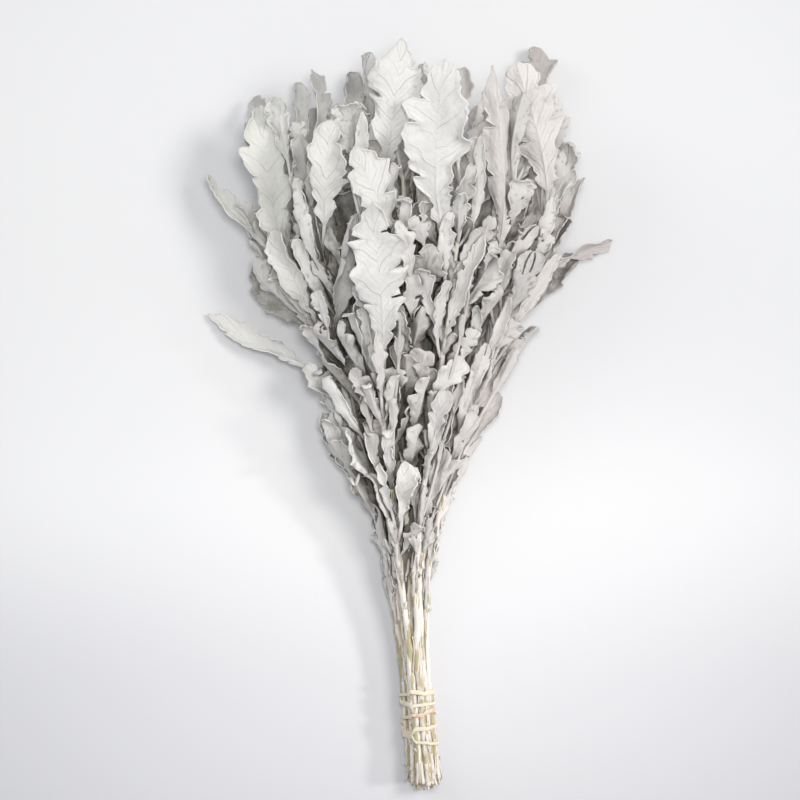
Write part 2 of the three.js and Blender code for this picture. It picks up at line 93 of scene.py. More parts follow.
TIE_LOW = 26
TIE_HIGH = 72
FAN_REACH = 350
FAN_POWER = 1.9
RISE_POWER = 0.6
SIDE_SPREAD = 11.2
DEPTH_SPREAD = 4.3
HEAD_HEIGHT = 50
END_SPLAY = 0.18
BASE_LEAN = 10.5
HEAD_LEAN = -1.5
LEAN_REACH = 130

STALK_HALF_WIDTH = 1
LOBE_END = 0.58
BLADE_SLANT = 0.25
ROLLED_FROM = 0.72  # share of the blade from which its end may be rolled
DOME_HEIGHT = 58
SURFACE_CLEARANCE = 0.65
SURFACE_SOFTNESS = 7
GOLDEN_ANGLE = math.radians(137.508)
FULLNESS = 0.7
WAVE = 0.22
WAVES = 2.2  # along a leaf

# Reach, left edge and right edge.
HEAD_OUTLINE = np.array([
    (140, -17, 18),
    (172, -30, 27),
    (196, -48, 36),
    (232, -58, 56),
    (268, -88, 72),
    (310, -96, 94),
    (345, -108, 104),
    (380, -108, 106),
    (405, -96, 98),
    (425, -66, 84),
    (450, -20, 60),
])

SHOWN_LEAVES = [
    # base, tip, width, depth, lobes, notch, roll, fold, curl, bow
    (-10, 44, -22, 128, 40, 0, 5, 0.35, 8, 0.1, 0.45, 9),
    (-3, 98, -32, 158, 32, 5, 4, 0.3, 22, 0.15, 0.5, 8),
    (10, 112, 21, 208, 42, 5, 5, 0.22, -14, 0.12, -0.45, 8),
    (-13, 132, -3, 221, 36, 10, 5, 0.2, 4, 0.08, 0.35, 6),
    (88, 137, 63, 209, 38, 3, 5, 0.3, -8, -0.1, -0.5, 6),
    (66, 100, 48, 206, 26, 5, 4, 0.25, 24, -0.5, -0.9, 6),
    (-80, 90, -86, 188, 34, 3, 5, 0.3, 10, 0.1, 0.55, 8),
    (-48, 112, -45, 174, 30, 4, 4, 0.25, -6, 0.1, 0.5, 6),
    (-44, 50, -34, 124, 22, 12, 3, 0.3, 34, 0.4, 0.9, 4),
    (-55, 57, -80, 112, 22, 10, 4, 0.2, -22, 0.2, 0.6, 4),
    (21, 52, 47, 108, 18, 6, 3, 0.2, -30, 0.35, 0.8, 5),
    (18, 112, 38, 148, 20, 8, 3, 0.3, 20, 0.5, 0.5, 4),
    (26, 124, 49, 176, 30, 20, 4, 0.3, -20, 0.3, 0.6, 5),
    (-16, 14, -18, 52, 15, 6, 3, 0.3, 26, 0.3, 0.7, 3),
    (-18, 6, -33, 30, 18, 5, 3, 0.5, -10, 0.2, 0.6, 3),
    (8, 10, 34, 38, 18, 6, 3, 0.3, 14, 0.3, 0.5, 3),
    (-34, 4, -62, 34, 17, 12, 3, 0.3, 14, 0.3, 0.7, 3),
    (37, 10, 52, 46, 17, 12, 3, 0.3, -24, 0.3, 0.7, 3),
    (37, -16, 56, 16, 17, 18, 3, 0.3, -14, 0.2, 0.6, 3),
    (-2, -60, -2, -24, 19, 0, 3, 0.3, 4, 0.2, 0.7, 3),
    (-38, -34, -52, 4, 17, 14, 3, 0.4, 22, 0.3, 0.7, 2),
    (86, 100, 105, 144, 16, 10, 3, 0.3, -34, 0.4, 0.7, 4),
    (86, 92, 123, 109, 15, 18, 3, 0.3, 34, 0.5, 0.7, 3),
    (82, 68, 102, 99, 18, 24, 3, 0.35, -30, 0.2, 0.5, 2),
    (-88, 104, -123, 143, 17, 14, 4, 0.3, 36, 0.5, 0.7, 4),
    (-62, 34, -121, 60, 19, 24, 4, 0.25, 22, 0.4, 0.6, 4),
    (-66, 57, -93, 91, 24, 28, 4, 0.3, -30, 0.2, 0.4, 2),
    (-44, 160, -57, 208, 16, 10, 3, 0.3, 30, 0.4, 0.7, 3),
    (-84, 162, -92, 194, 16, 22, 3, 0.3, -26, 0.2, 0.5, 2),
    (-28, 168, -34, 204, 17, 25, 3, 0.3, 16, 0.2, 0.5, 2),
    (90, 168, 77, 225, 24, 30, 4, 0.5, 12, 0.1, 0.3, 3),
    (34, 168, 33, 205, 17, 24, 3, 0.3, -20, 0.2, 0.5, 2),
    (14, -16, 22, 18, 15, 3, 2, 0.35, -16, 0.3, 0.6, 3),
    (25, -26, 40, 5, 15, 5, 2, 0.35, 18, 0.2, 0.6, 2),
    (13, -47, 23, -17, 14, 3, 2, 0.4, -10, 0.3, 0.7, 2),
    (-16, -34, -25, -7, 14, 3, 2, 0.4, 20, 0.3, 0.7, 2),
    (-9, -54, -17, -26, 12, 3, 2, 0.4, -20, 0.3, 0.7, 2),
]
ROOT_SETBACK = 15
CARRIER_CHOICES = 4
HEIGHT_CHANGES = [0, -3, 3, -6, 6, -9, 9, -12, 12, -16, 16, -20, 20, -26]
BASE_SINK = 6
TIP_SINK = 4

LEAVES_PER_STEM = 12
ATTEMPTS = 40
LOWEST_LEAF = 140
LOWEST_LENGTH = 35
HIGHEST_LENGTH = 82


def seeded(number):
    """The draws of one numbered thing: the same number gives the same draws."""
    state = number * 2654435761 % 2**32

    def draw(low=0.0, high=1.0):
        nonlocal state
        state = (state * 1664525 + 1013904223) % 2**32
        return low + (high - low) * (state / 2**32)

    draw()
    draw()
    return draw


def lerp(a, b, share):
    return a + (b - a) * share


def smoothstep(x, low, high):
    share = np.clip((x - low) / (high - low), 0, 1)
    return share * share * (3 - 2 * share)


def unit(v):
    return v / np.linalg.norm(v, axis=-1, keepdims=True)


def turned(v, axis, angle):
    """A vector square to a unit axis, turned about it."""
    return v * np.cos(angle) + np.cross(axis, v) * np.sin(angle)


def fan(reach):
    return np.maximum(0, (reach - TIE_HIGH) / (FAN_REACH - TIE_HIGH)) ** FAN_POWER


def splay(reach):
    return END_SPLAY * np.maximum(0, 1 - reach / TIE_LOW) ** 1.3


def lean(reach):
    return BASE_LEAN * np.maximum(0, 1 - reach / LEAN_REACH) + HEAD_LEAN * fan(reach)


TIE_HEIGHT = BAND_THICKNESS + BAND_GAP + STEM_RADIUS + (len(STEM_ROWS) - 1) / 2 * ROW_PITCH


def head_middle(reach):
    return TIE_HEIGHT + (HEAD_HEIGHT - TIE_HEIGHT) * fan(reach) ** RISE_POWER


def make_stem(number, across, layer):
    draw = seeded(number)
    away = math.hypot(across, layer) / BUNDLE_RADIUS
    return SimpleNamespace(
        number=number,
        across=across,
        layer=layer,
        start=draw(0, CUT_STAGGER),
        end=STEM_REACH - STEM_REACH_LOSS * away**2 + draw(-8, 8),
        lean_x=draw(-7, 7),
        lean_z=draw(-4, 4),
        bow=draw(-5, 5),
        turn=draw(0, 2 * math.pi),
        cut_slant=draw(-0.8, 0.8),
    )


def make_stems():
    places = [
        (i - (count - 1) / 2, row - (len(STEM_ROWS) - 1) / 2)
        for row, count in enumerate(STEM_ROWS)
        for i in range(count)
    ]
    return [make_stem(number, *place) for number, place in enumerate(places, 1)]


def stem_point(stem, reach):
    reach = np.asarray(reach, float)
    opened = fan(reach)
    side = 1 + SIDE_SPREAD * opened + splay(reach)
    depth = 1 + DEPTH_SPREAD * opened + splay(reach)
    bow = stem.bow * np.sin(np.pi * np.clip(opened, 0, 1))
    x = lean(reach) + stem.across * STEM_PITCH * side + stem.lean_x * opened + bow
    z = head_middle(reach) + stem.layer * ROW_PITCH * depth + stem.lean_z * opened
    return np.stack([x, reach - MIDDLE, z], axis=-1)


def stem_direction(stem, reach):
    return unit(stem_point(stem, reach + 1) - stem_point(stem, reach - 1))


def stem_radius(stem, reach):
    along = (reach - stem.start) / (stem.end - stem.start)
    return lerp(STEM_RADIUS, STEM_TIP_RADIUS, along**1.2)


def head_edges(reach):
    return [np.interp(reach, HEAD_OUTLINE[:, 0], HEAD_OUTLINE[:, i]) for i in (1, 2)]


def dome_height(x, y):
    reach = y + MIDDLE
    left, right = head_edges(reach)
    off = np.abs(x - (left + right) / 2) / ((right - left) / 2)
    swell = np.clip(lerp(0.3, 1, fan(reach)), 0, 1)
    return head_middle(reach) + DOME_HEIGHT * swell * (1 - np.minimum(off, 1.25) ** 1.8)


def is_in_head(points):
    x, y, z = np.moveaxis(points, -1, 0)
    left, right = head_edges(y + MIDDLE)
    return np.all((x > left) & (x < right) & (y < MIDDLE - 8) & (z < dome_height(x, y) + 2))


def bezier(spine, t):
    t = np.clip(t, 0, 1)[..., None]
    a, b, c, d = spine
    return (1 - t) ** 3 * a + 3 * (1 - t) ** 2 * t * b + 3 * (1 - t) * t**2 * c + t**3 * d


def rolled_axes(leaf, t, tip_roll):
    """Across, up, along and the rib's place at each t, with the end of the blade rolled up by an angle."""
    step = 1e-4
    along = unit(bezier(leaf.spine, t + step) - bezier(leaf.spine, t - step))
    up = unit(leaf.facing - along * (along @ leaf.facing)[:, None])
    up = turned(up, along, np.radians(lerp(leaf.roll_at_root, leaf.roll_at_tip, t))[:, None])
    across = np.cross(along, up)
    place = bezier(leaf.spine, t)
    if tip_roll:
        start = lerp(leaf.stalk, 1, ROLLED_FROM)
        share = np.clip((t - start) / (1 - start), 0, 1)[:, None]
        angle = tip_roll * share
        length = np.linalg.norm(leaf.spine[3] - bezier(leaf.spine, np.array([start])))
        forward = np.sin(angle) / tip_roll - share
        upward = (1 - np.cos(angle)) / tip_roll
        place = place + length * (along * forward + up * upward)
        along, up = along * np.cos(angle) + up * np.sin(angle), up * np.cos(angle) - along * np.sin(angle)
    return across[:, None], up[:, None], along[:, None], place[:, None]


def lobed_width(leaf, v, place, side, taper, rise):
    """The half width of a blade at v, from 0 at its root to 1 at its tip. Place counts the lobes, and rise
    is how far one lobe stands out along itself."""
    outline = np.maximum(np.sin(np.pi * v**leaf.widest), 0) ** taper
    lobe = np.minimum(place.astype(int), leaf.lobes - 1)
    size = leaf.sizes[lobe if side > 0 else leaf.lobes + lobe]
    cut = leaf.notch * (1 - rise(place - lobe) * size)
    return STALK_HALF_WIDTH * (1 - v) + leaf.half_width * outline * (1 - cut)


def half_width(leaf, t, side):
    """The half width at t, from 0 at the root to 1 at the tip: a stalk, then a lobed blade."""
    v = (t - leaf.stalk) / (1 - leaf.stalk)
    w = np.clip(v, 0, 1)
    rise = lambda inside: np.abs(np.sin(np.pi * inside)) ** 0.8
    blade = lobed_width(leaf, w, w * leaf.lobes, side, leaf.fullness, rise)
    return np.where(v <= 0, STALK_HALF_WIDTH, blade)


def above_surface(p, t):
    z = p[..., 2]
    raised = SURFACE_SOFTNESS * np.log1p(np.exp(z / SURFACE_SOFTNESS))
    p[..., 2] = lerp(z, SURFACE_CLEARANCE + raised, smoothstep(t, 0, 0.25))
    return p


def half_sheet(leaf, t, side, out, bend=0.0, tip_roll=0.0):
    """Points of one side of a leaf. Row by row, out runs from 0 at the rib to the edge, measured on the
    blade. Bend is added to its angle across, and tip_roll is the angle that its end is rolled by."""
    across, up, along, place = rolled_axes(leaf, t, tip_roll)
    opened = np.clip((t - leaf.stalk) / 0.2, 0, 1)[:, None]
    wave = WAVE * np.sin(2 * np.pi * WAVES * t + leaf.phase + 2.1 * side)[:, None]
    angle = opened * (leaf.fold + wave + leaf.curl * out / leaf.half_width + bend)
    steps = np.diff(out, axis=1)
    middle = (angle[:, 1:] + angle[:, :-1]) / 2
    start = np.zeros((len(t), 1))
    summed = lambda part: np.hstack([start, np.cumsum(part * steps, axis=1)])[..., None]
    sideways = summed(np.cos(middle))
    lifted = summed(np.sin(middle))
    drawn = (opened * BLADE_SLANT * out)[..., None]
    p = place + side * across * sideways + up * lifted + along * drawn
    return above_surface(p, t[:, None])


def lobe_sizes(draw, lobes):
    return np.array([draw(0.65, 1.2) for _ in range(2 * lobes)])


def carriers(base_x, base_y):
    """The stems that can carry a shown leaf, with its root on them, the closest one first."""
    reach = base_y + MIDDLE - ROOT_SETBACK
    choices = []
    for stem in STEMS:
        if stem.end > reach - 12:
            root = stem_point(stem, min(reach, stem.end - 2))
            above = dome_height(base_x, base_y) - root[2]
            choices.append((abs(root[0] - base_x) + 0.7 * abs(above), stem, root))
    choices.sort(key=lambda choice: choice[0])
    return [choice[1:] for choice in choices[:CARRIER_CHOICES]]


def laid_leaf(draw, row, stem, root, height_change):
    """A leaf with its blade laid a depth below the dome of the head, on a stalk from a stem."""
    base_x, base_y, tip_x, tip_y, width, depth, lobes, notch, roll, fold, curl, bow = row
    height = lambda x, y: dome_height(x, y) - depth + height_change
    base = np.array([base_x, base_y, height(base_x, base_y) - BASE_SINK])
    tip = np.array([tip_x, tip_y, height(tip_x, tip_y) - TIP_SINK])
    stalk_length = np.linalg.norm(root - base)
    stalk = 0.9 * stalk_length / (stalk_length + np.linalg.norm(base - tip))
    arch = (base + tip) / 2 + (0, 0, bow)
    return SimpleNamespace(
        stem=stem,
        shown=False,
        spine=np.array([root, lerp(root, base, 0.9), arch, tip]),
        facing=np.array([0.0, 0.0, 1.0]),
        roll_at_root=roll * 0.5,
        roll_at_tip=roll * 1.3,
        stalk=min(max(stalk, 0.1), 0.6),
        half_width=width / 2,
        widest=draw(1.35, 1.8),
        fullness=FULLNESS,
        lobes=lobes,
        notch=notch,
        sizes=lobe_sizes(draw, lobes),
        fold=fold,
        curl=curl,
        phase=draw(0, 2 * math.pi),
    )


def laid_choices(number, row):
    """A laid leaf for each place that it may take, in the order in which the places are tried."""
    places = carriers(*row[:2])
    return (laid_leaf(seeded(number), row, *place, change) for change in HEIGHT_CHANGES for place in places)


def grown_leaf(draw, stem, reach, turn, length, leaving, ending, lobes, stalk, slimness, notch, wobble):
    """A leaf that grows from a stem by rule. It leaves the stem at one angle and ends at another."""
    axis = stem_direction(stem, reach)
    outward = turned(unit(np.array([0, 0, 1]) - axis * axis[2]), axis, turn)
    heading = lambda angle: axis * math.cos(angle) + outward * math.sin(angle)
    root = stem_point(stem, reach)
    tip = root + heading((leaving + ending) / 2) * length
    facing = -outward
    facing[2] += (-0.9 if draw() < 0.5 else 0.9) * (1 - abs(outward[2]))
    roll = draw(-22, 22) + 8 * wobble
    return SimpleNamespace(
        stem=stem,
        shown=False,
        spine=np.array([
            root,
            root + heading(leaving) * length * 0.35,
            tip - heading(ending) * length * 0.35,
            tip,
        ]),
        facing=facing,
        roll_at_root=roll * 0.3,
        roll_at_tip=roll * 1.6,
        stalk=stalk,
        half_width=length * slimness * draw(0.9, 1.1) / 2,
        widest=draw(1.15, 1.7),
        fullness=FULLNESS,
        lobes=lobes,
        notch=notch * draw(0.8, 1.2),
        sizes=lobe_sizes(draw, lobes),
        fold=draw(-0.15, 0.4),
        curl=draw(0.1, 0.8) * (1 if draw() < 0.75 else -1),
        phase=draw(0, 2 * math.pi),
    )


def ruled_leaf(stem, index, attempt):
    draw = seeded(stem.number * 100 + index)
    height = index / (LEAVES_PER_STEM - 1)
    wobble = attempt * 7 % 5 - 2
    reach = lerp(LOWEST_LEAF + draw(0, 14), stem.end - 3, height**1.25)
    length = lerp(LOWEST_LENGTH, HIGHEST_LENGTH, height) * draw(0.88, 1.12) * 0.988**attempt
    lobes = 4 if length > 70 else 3 if length > 50 else 2
    turn = stem.turn + index * GOLDEN_ANGLE + attempt * math.radians(49)
    leaving = math.radians(lerp(48, 30, height) + 5 * wobble)
    ending = math.radians(lerp(26, 6, height) + draw(-10, 10) - 4 * wobble)
    stalk, slimness, notch = lerp(0.16, 0.26, height), lerp(0.46, 0.36, height), lerp(0.5, 0.3, height)
    return grown_leaf(draw, stem, reach, turn, length, leaving, ending, lobes, stalk, slimness, notch, wobble)


# ---- the leaves that the CAD model has

MATCH_TOLERANCE = 0.6  # a leaf's edge lies this close to its corners in the CAD model
EDGE_STEPS = 9


def corner_trees():
    """For each leafy stem, a tree of its CAD corners."""
    trees = {}
    for stem in STEMS:
        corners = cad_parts[stem.node].data.vertices
        tree = KDTree(len(corners))
        for i, corner in enumerate(corners):
            tree.insert(corner.co / MM, i)
        tree.balance()
        trees[stem.number] = tree
    return trees


def is_in_cad(leaf, trees):
    """Whether the CAD model has corners at the leaf's tip and at the ends of all its lobes."""
    has_corner = lambda p: trees[leaf.stem.number].find(Vector(p))[2] < MATCH_TOLERANCE
    tip_at = np.array([1.0])
    if not has_corner(above_surface(bezier(leaf.spine, tip_at), tip_at)[0]):
        return False
    t = leaf.stalk + (1 - leaf.stalk) * (np.arange(leaf.lobes) + LOBE_END) / leaf.lobes
    for side in (1, -1):
        out = half_width(leaf, t, side)[:, None] * np.linspace(0, 1, EDGE_STEPS)
        if not all(has_corner(p) for p in half_sheet(leaf, t, side, out)[:, -1]):
            return False
    return True


def cad_leaves():
    """All leaves of the CAD model, with a number for each."""
    trees = corner_trees()
    leaves = []

    def take_first(number, shown, choices):
        leaf = next((leaf for leaf in choices if is_in_cad(leaf, trees)), None)
        if leaf:
            leaf.number = number
            leaf.shown = shown
            leaves.append(leaf)

    for number, row in enumerate(SHOWN_LEAVES):
        take_first(number, True, laid_choices(LAID_SEED + number, row))
    for stem in STEMS:
        for index in range(LEAVES_PER_STEM):
            choices = (ruled_leaf(stem, index, attempt) for attempt in range(ATTEMPTS))
            take_first(stem.number * 100 + index, False, choices)
    return leaves


# ---- fine leaves

BLADE_HALF = 0.23  # half the blade's thickness
STALK_HALF = 0.75
RIB_WIDTH = 0.75
RIB_RISE = 0.75  # of the rib above the blade on its upper side
RIB_DROP = 0.85  # of the rib under the blade
VEIN_WIDTH = 0.7
VEIN_RISE = 0.34
PUFF = 0.7  # height of the blade between its veins
TOOTH_PITCH = 6.5
TOOTH_DEPTH = 1.6
LEAST_HALF_WIDTH = 0.3
LOWEST = 0.06  # height of the lowest point above the surface
CEILING = cad_bounds[1][2] / MM - 4  # height from which the curled lobes are pressed down
CEILING_ROOM = 6
POINTED = {3, 19, 27, 28, 29, 30, 31}  # numbers of shown leaves with a pointed, unrolled tip
FLAT_SHARE = 0.5  # of the lobes, which curl only a little
TORN_SHARE = 0.12  # of the notches, at which a blade is torn
HOLE_SHARE = 0.05


def crumple(draw, x, y, wavelength, count=5):
    """A smooth uneven surface of about unit height: waves of random directions."""
    total = 0
    for _ in range(count):
        heading = draw(0, 2 * math.pi)
        turns = (x * math.cos(heading) + y * math.sin(heading)) / (wavelength * draw(0.7, 1.4))
        total = total + np.sin(2 * np.pi * turns + draw(0, 2 * math.pi))
    return total / count**0.5


def blade_length(leaf):
    curve = bezier(leaf.spine, np.linspace(leaf.stalk, 1, 16))
    return np.linalg.norm(np.diff(curve, axis=0), axis=1).sum()


def leaf_rows(leaf, cell):
    """The values of t of the rows: along the stalk, then an equal number in each lobe."""
    length = blade_length(leaf)
    stalk_rows = max(3, math.ceil(length * leaf.stalk / (1 - leaf.stalk) / (2.5 * cell)))
    lobe_rows = max(4, math.ceil(length / leaf.lobes / cell))
    v = np.linspace(0, 1, leaf.lobes * lobe_rows + 1)
    v[-1] = leaf.blunt
    return np.concatenate([np.linspace(0, leaf.stalk, stalk_rows, endpoint=False), lerp(leaf.stalk, 1, v)])


def leaf_columns(leaf, cell):
    """Shares of the half width, close together at the rib and at the edge."""
    count = max(3, math.ceil(leaf.half_width / cell))
    rib = np.array([0, 0.7, 1.5]) / leaf.half_width
    if rib[2] > 0.3:
        rib = rib[:2]
    return np.concatenate([rib[:-1], np.linspace(rib[-1], 1 - 0.35 / count, count), [1]])


def teeth(draw, along):
    """The depth of the small teeth of an edge. They point forward and are uneven in size."""
    place = along / (TOOTH_PITCH * draw(0.75, 1.3)) + 0.35 * crumple(draw, along, 0, 22, 3) + draw()
    inside = place % 1
    tooth = np.where(inside < 0.7, inside / 0.7, (1 - inside) / 0.3)
    return (tooth - 0.5) * np.clip(0.7 + 0.8 * crumple(draw, along, 0, 20, 3), 0.1, 1.6)


def torn_line(draw, along, pitch):
    """A line of straight stretches with corners, of about unit height."""
    corners = [0]
    while corners[-1] < along[-1]:
        corners.append(corners[-1] + pitch * draw(0.4, 1.6))
    return np.interp(along, corners, [draw(-1, 1) for _ in corners])


def lobe_place(draw, leaf, v):
    """Where v lies among one side's lobes, counted from the root. Their notches aren't evenly spaced."""
    notches = [0] + [(i + draw(-0.25, 0.25)) / leaf.lobes for i in range(1, leaf.lobes)] + [1]
    return np.interp(v, notches, np.arange(leaf.lobes + 1))


def clefts(draw, leaf, place):
    """The share of the width that narrow clefts between some of the lobes leave."""
    left = np.ones_like(place)
    for notch in range(1, leaf.lobes):
        depth = draw(0.2, 0.6) if draw() < leaf.cleft_share else 0
        half = draw(1.2, 2.2) / blade_length(leaf) * leaf.lobes
        left = left - depth * np.maximum(0, 1 - np.abs(place - notch) / half)
    return left


def ragged_width(draw, leaf, v, place, side):
    """The half width of one side: forward-pointing lobes with clefts, torn stretches and small teeth."""
    rise = lambda inside: np.where(inside < leaf.peak, inside / leaf.peak, (1 - inside) / (1 - leaf.peak))
    width = lobed_width(leaf, v, place, side, leaf.taper, rise)
    along = v * blade_length(leaf)
    torn = leaf.torn * (torn_line(draw, along, 9) + 0.45 * torn_line(draw, along, 3.2))
    width = width * clefts(draw, leaf, place)
    fading = np.minimum(1, 8 * v * (1 - v)) * (v > 0)
    width = width + leaf.scale * fading * (torn + TOOTH_DEPTH * teeth(draw, along))
    return np.where(v > 0, np.maximum(width, LEAST_HALF_WIDTH), STALK_HALF_WIDTH)


def lobe_bend(draw, leaf):
    """The angle that one lobe is curled by. Some lobes are curled strongly, and most of those one way."""
    if draw() < FLAT_SHARE:
        return draw(-0.4, 0.5)
    return draw(0.9, 2.3) * (leaf.roll_sign if draw() < 0.8 else -leaf.roll_sign)


def edge_bend(draw, leaf, v, shares):
    """The angle that is added to one side of a blade: it is gathered at the rib, its lobes are curled, its
    edge ripples, and long folds run beside the rib."""
    lobe_middles = (np.arange(leaf.lobes + 1) + draw(0.35, 0.65)) / leaf.lobes
    bends = [lobe_bend(draw, leaf) for _ in lobe_middles]
    curled = np.interp(v, lobe_middles, bends) * smoothstep(shares, draw(0.4, 0.65), 1)
    rippled = leaf.ripple * crumple(draw, v * leaf.lobes, 0, 0.55) * shares**2
    pleat = draw(0.1, 0.4) * np.sin(2 * np.pi * (shares * draw(0.9, 1.5) + 0.5 * v + draw())) * shares
    return leaf.gathered + leaf.dryness * (curled + rippled + pleat)


def set_style(leaf):
    """How a leaf has dried: what its fine form and colours draw on."""
    draw = seeded(STYLE_SEED + leaf.number)
    either = lambda shown, other: shown if leaf.shown else other
    is_cover = leaf.number >= COVER_SEED
    is_flat = leaf.shown or is_cover
    is_pointed = leaf.number in POINTED
    tip_reach = leaf.spine[3][1] + MIDDLE
    is_high = tip_reach > 370
    low = 1 - smoothstep(tip_reach, 270, 360)
    leaf.roll_sign = 1 if draw() < 0.7 else -1
    leaf.dryness = draw(0.65, 0.95) + (0.2 if is_cover else 0) if is_flat else draw(0.8, 1.2) + 0.3 * low
    leaf.gathered = 0 if is_flat else draw(0, 0.7) * low
    is_rolled = draw() < (0.08 if is_high else 0.3)
    leaf.tip_roll = draw(1.3, 2.6) * leaf.roll_sign if is_rolled else draw(-0.7, 0.9)
    leaf.tip_roll *= 0 if is_pointed else either(0.5, 1)
    leaf.cleft_share = either(0.4, 0.65)
    leaf.ripple = either(0.22, 0.33 if is_cover else 0.4)
    leaf.relief = either(0.6, 1.0)
    leaf.creased = either(0.5, 1)
    leaf.torn = either(2.7, 1.6)
    leaf.taper = leaf.fullness + (draw(0.05, 0.35) if leaf.shown else 0) + (0.3 if is_pointed else 0)
    leaf.veined = draw(*either((0.6, 1), (0.1, 0.7)))
    leaf.vein_lead = draw(0.5, 0.95)
    leaf.peak = draw(0.68, 0.86)
    leaf.notch *= draw(*either((0.85, 1.3), (0.6, 1)))
    leaf.blunt = 0.99 if leaf.shown or is_high else draw(0.965, 0.99)
    leaf.split = not leaf.shown and leaf.half_width > 3 and draw() < 0.22
    leaf.scale = min(leaf.half_width / 14, 1) ** 0.6


def joined(left, right):
    """The grids of both sides of a leaf as one, with the rib once."""
    return np.concatenate([left[:, :0:-1], right], axis=1)


def keep_above_surface(*grids):
    for grid in grids:
        grid[..., 2] = np.maximum(grid[..., 2], LOWEST)


def smoothed(field):
    for _ in range(3):
        padded = np.pad(field, 1, mode="edge")
        field = (2 * padded[1:-1, 1:-1] + padded[:-2, 1:-1] + padded[2:, 1:-1]
                 + padded[1:-1, :-2] + padded[1:-1, 2:]) / 6
    return field


def kept_cells(draw, leaf, v, u):
    """Which cells of a blade are kept: it is torn at some notches, and has a few small holes."""
    v = (v[1:] + v[:-1]) / 2
    u = (u[1:] + u[:-1]) / 2
    kept = np.ones((len(v), len(u)), bool)
    if leaf.half_width < 5:
        return kept
    cell = 1 / blade_length(leaf)
    for side in (-1, 1):
        for notch in range(1, leaf.lobes):
            if draw() < TORN_SHARE:
                depth = draw(0.45, 0.8)
                place = notch / leaf.lobes + draw(-0.5, 1) * cell
                torn = np.abs(v[:, None] - place + 0.35 * BLADE_SLANT * (np.abs(u) - 1) * cell) < 0.62 * cell
                kept &= ~(torn & (side * u > depth))
    if leaf.split:
        for _ in range(3):
            middle = draw(-0.75, 0.75)
            cut = np.abs(u - middle) * leaf.half_width < 0.5 / cell / 60
            kept &= ~(cut & (v[:, None] > draw(0.62, 0.85)))
    for _ in range(2):
        if draw() < HOLE_SHARE:
            along = (v[:, None] - draw(0.2, 0.85)) / cell
            across = (u - draw(-0.7, 0.7)) * leaf.half_width
            kept &= np.hypot(along, across) > draw(0.8, 1.5)
    return kept


def both_sides(draw, leaf, t, v, shares):
    """How far each point of a leaf is from the rib, where it lies, and its place among the lobes."""
    halves = []
    for side in (-1, 1):
        place = lobe_place(draw, leaf, v)
        out = ragged_width(draw, leaf, v, place, side) * shares
        bend = edge_bend(draw, leaf, v, shares)
        points = half_sheet(leaf, t, side, out, bend, leaf.tip_roll * leaf.dryness)
        halves.append((side * out, points, np.broadcast_to(place, out.shape)))
    return [joined(left, right) for left, right in zip(*halves)]


def vein_ridges(phase, away, span, lobe_length):
    """1 on the side veins, less on the finer ones between them, and 0 beside them."""
    gap = lambda phase: np.abs(phase - np.round(phase)) * lobe_length * 0.75
    beside_rib = smoothstep(away, 0.3, 1.5)
    veins = np.exp(-((gap(phase) / VEIN_WIDTH) ** 2)) * (1 - span**3) * beside_rib
    fine_veins = np.exp(-((gap(phase + 0.5) / (0.8 * VEIN_WIDTH)) ** 2)) * (1 - span**2) * beside_rib
    return np.maximum(veins, 0.55 * fine_veins)


def dried_height(draw, leaf, out, along, span, phase):
    """The height of a blade that is puffed between its veins, folded and creased."""
    grain = max(leaf.scale, 0.5)
    puffed = PUFF * (0.5 - 0.5 * np.cos(4 * np.pi * phase)) * span * (1 - span**4)
    folds = 0.85 * crumple(draw, out, along, 18 * grain) + 0.3 * crumple(draw, out, along, 8 * grain)
    papery = 0.12 * crumple(draw, out, along, 4, 7)
    beside_crease = np.abs(crumple(draw, out, 0.45 * along, 11 * grain))
    creases = -0.9 * leaf.creased * (1 - np.minimum(1, 2.8 * beside_crease))
    return puffed + (folds + creases) * span**0.6 + papery


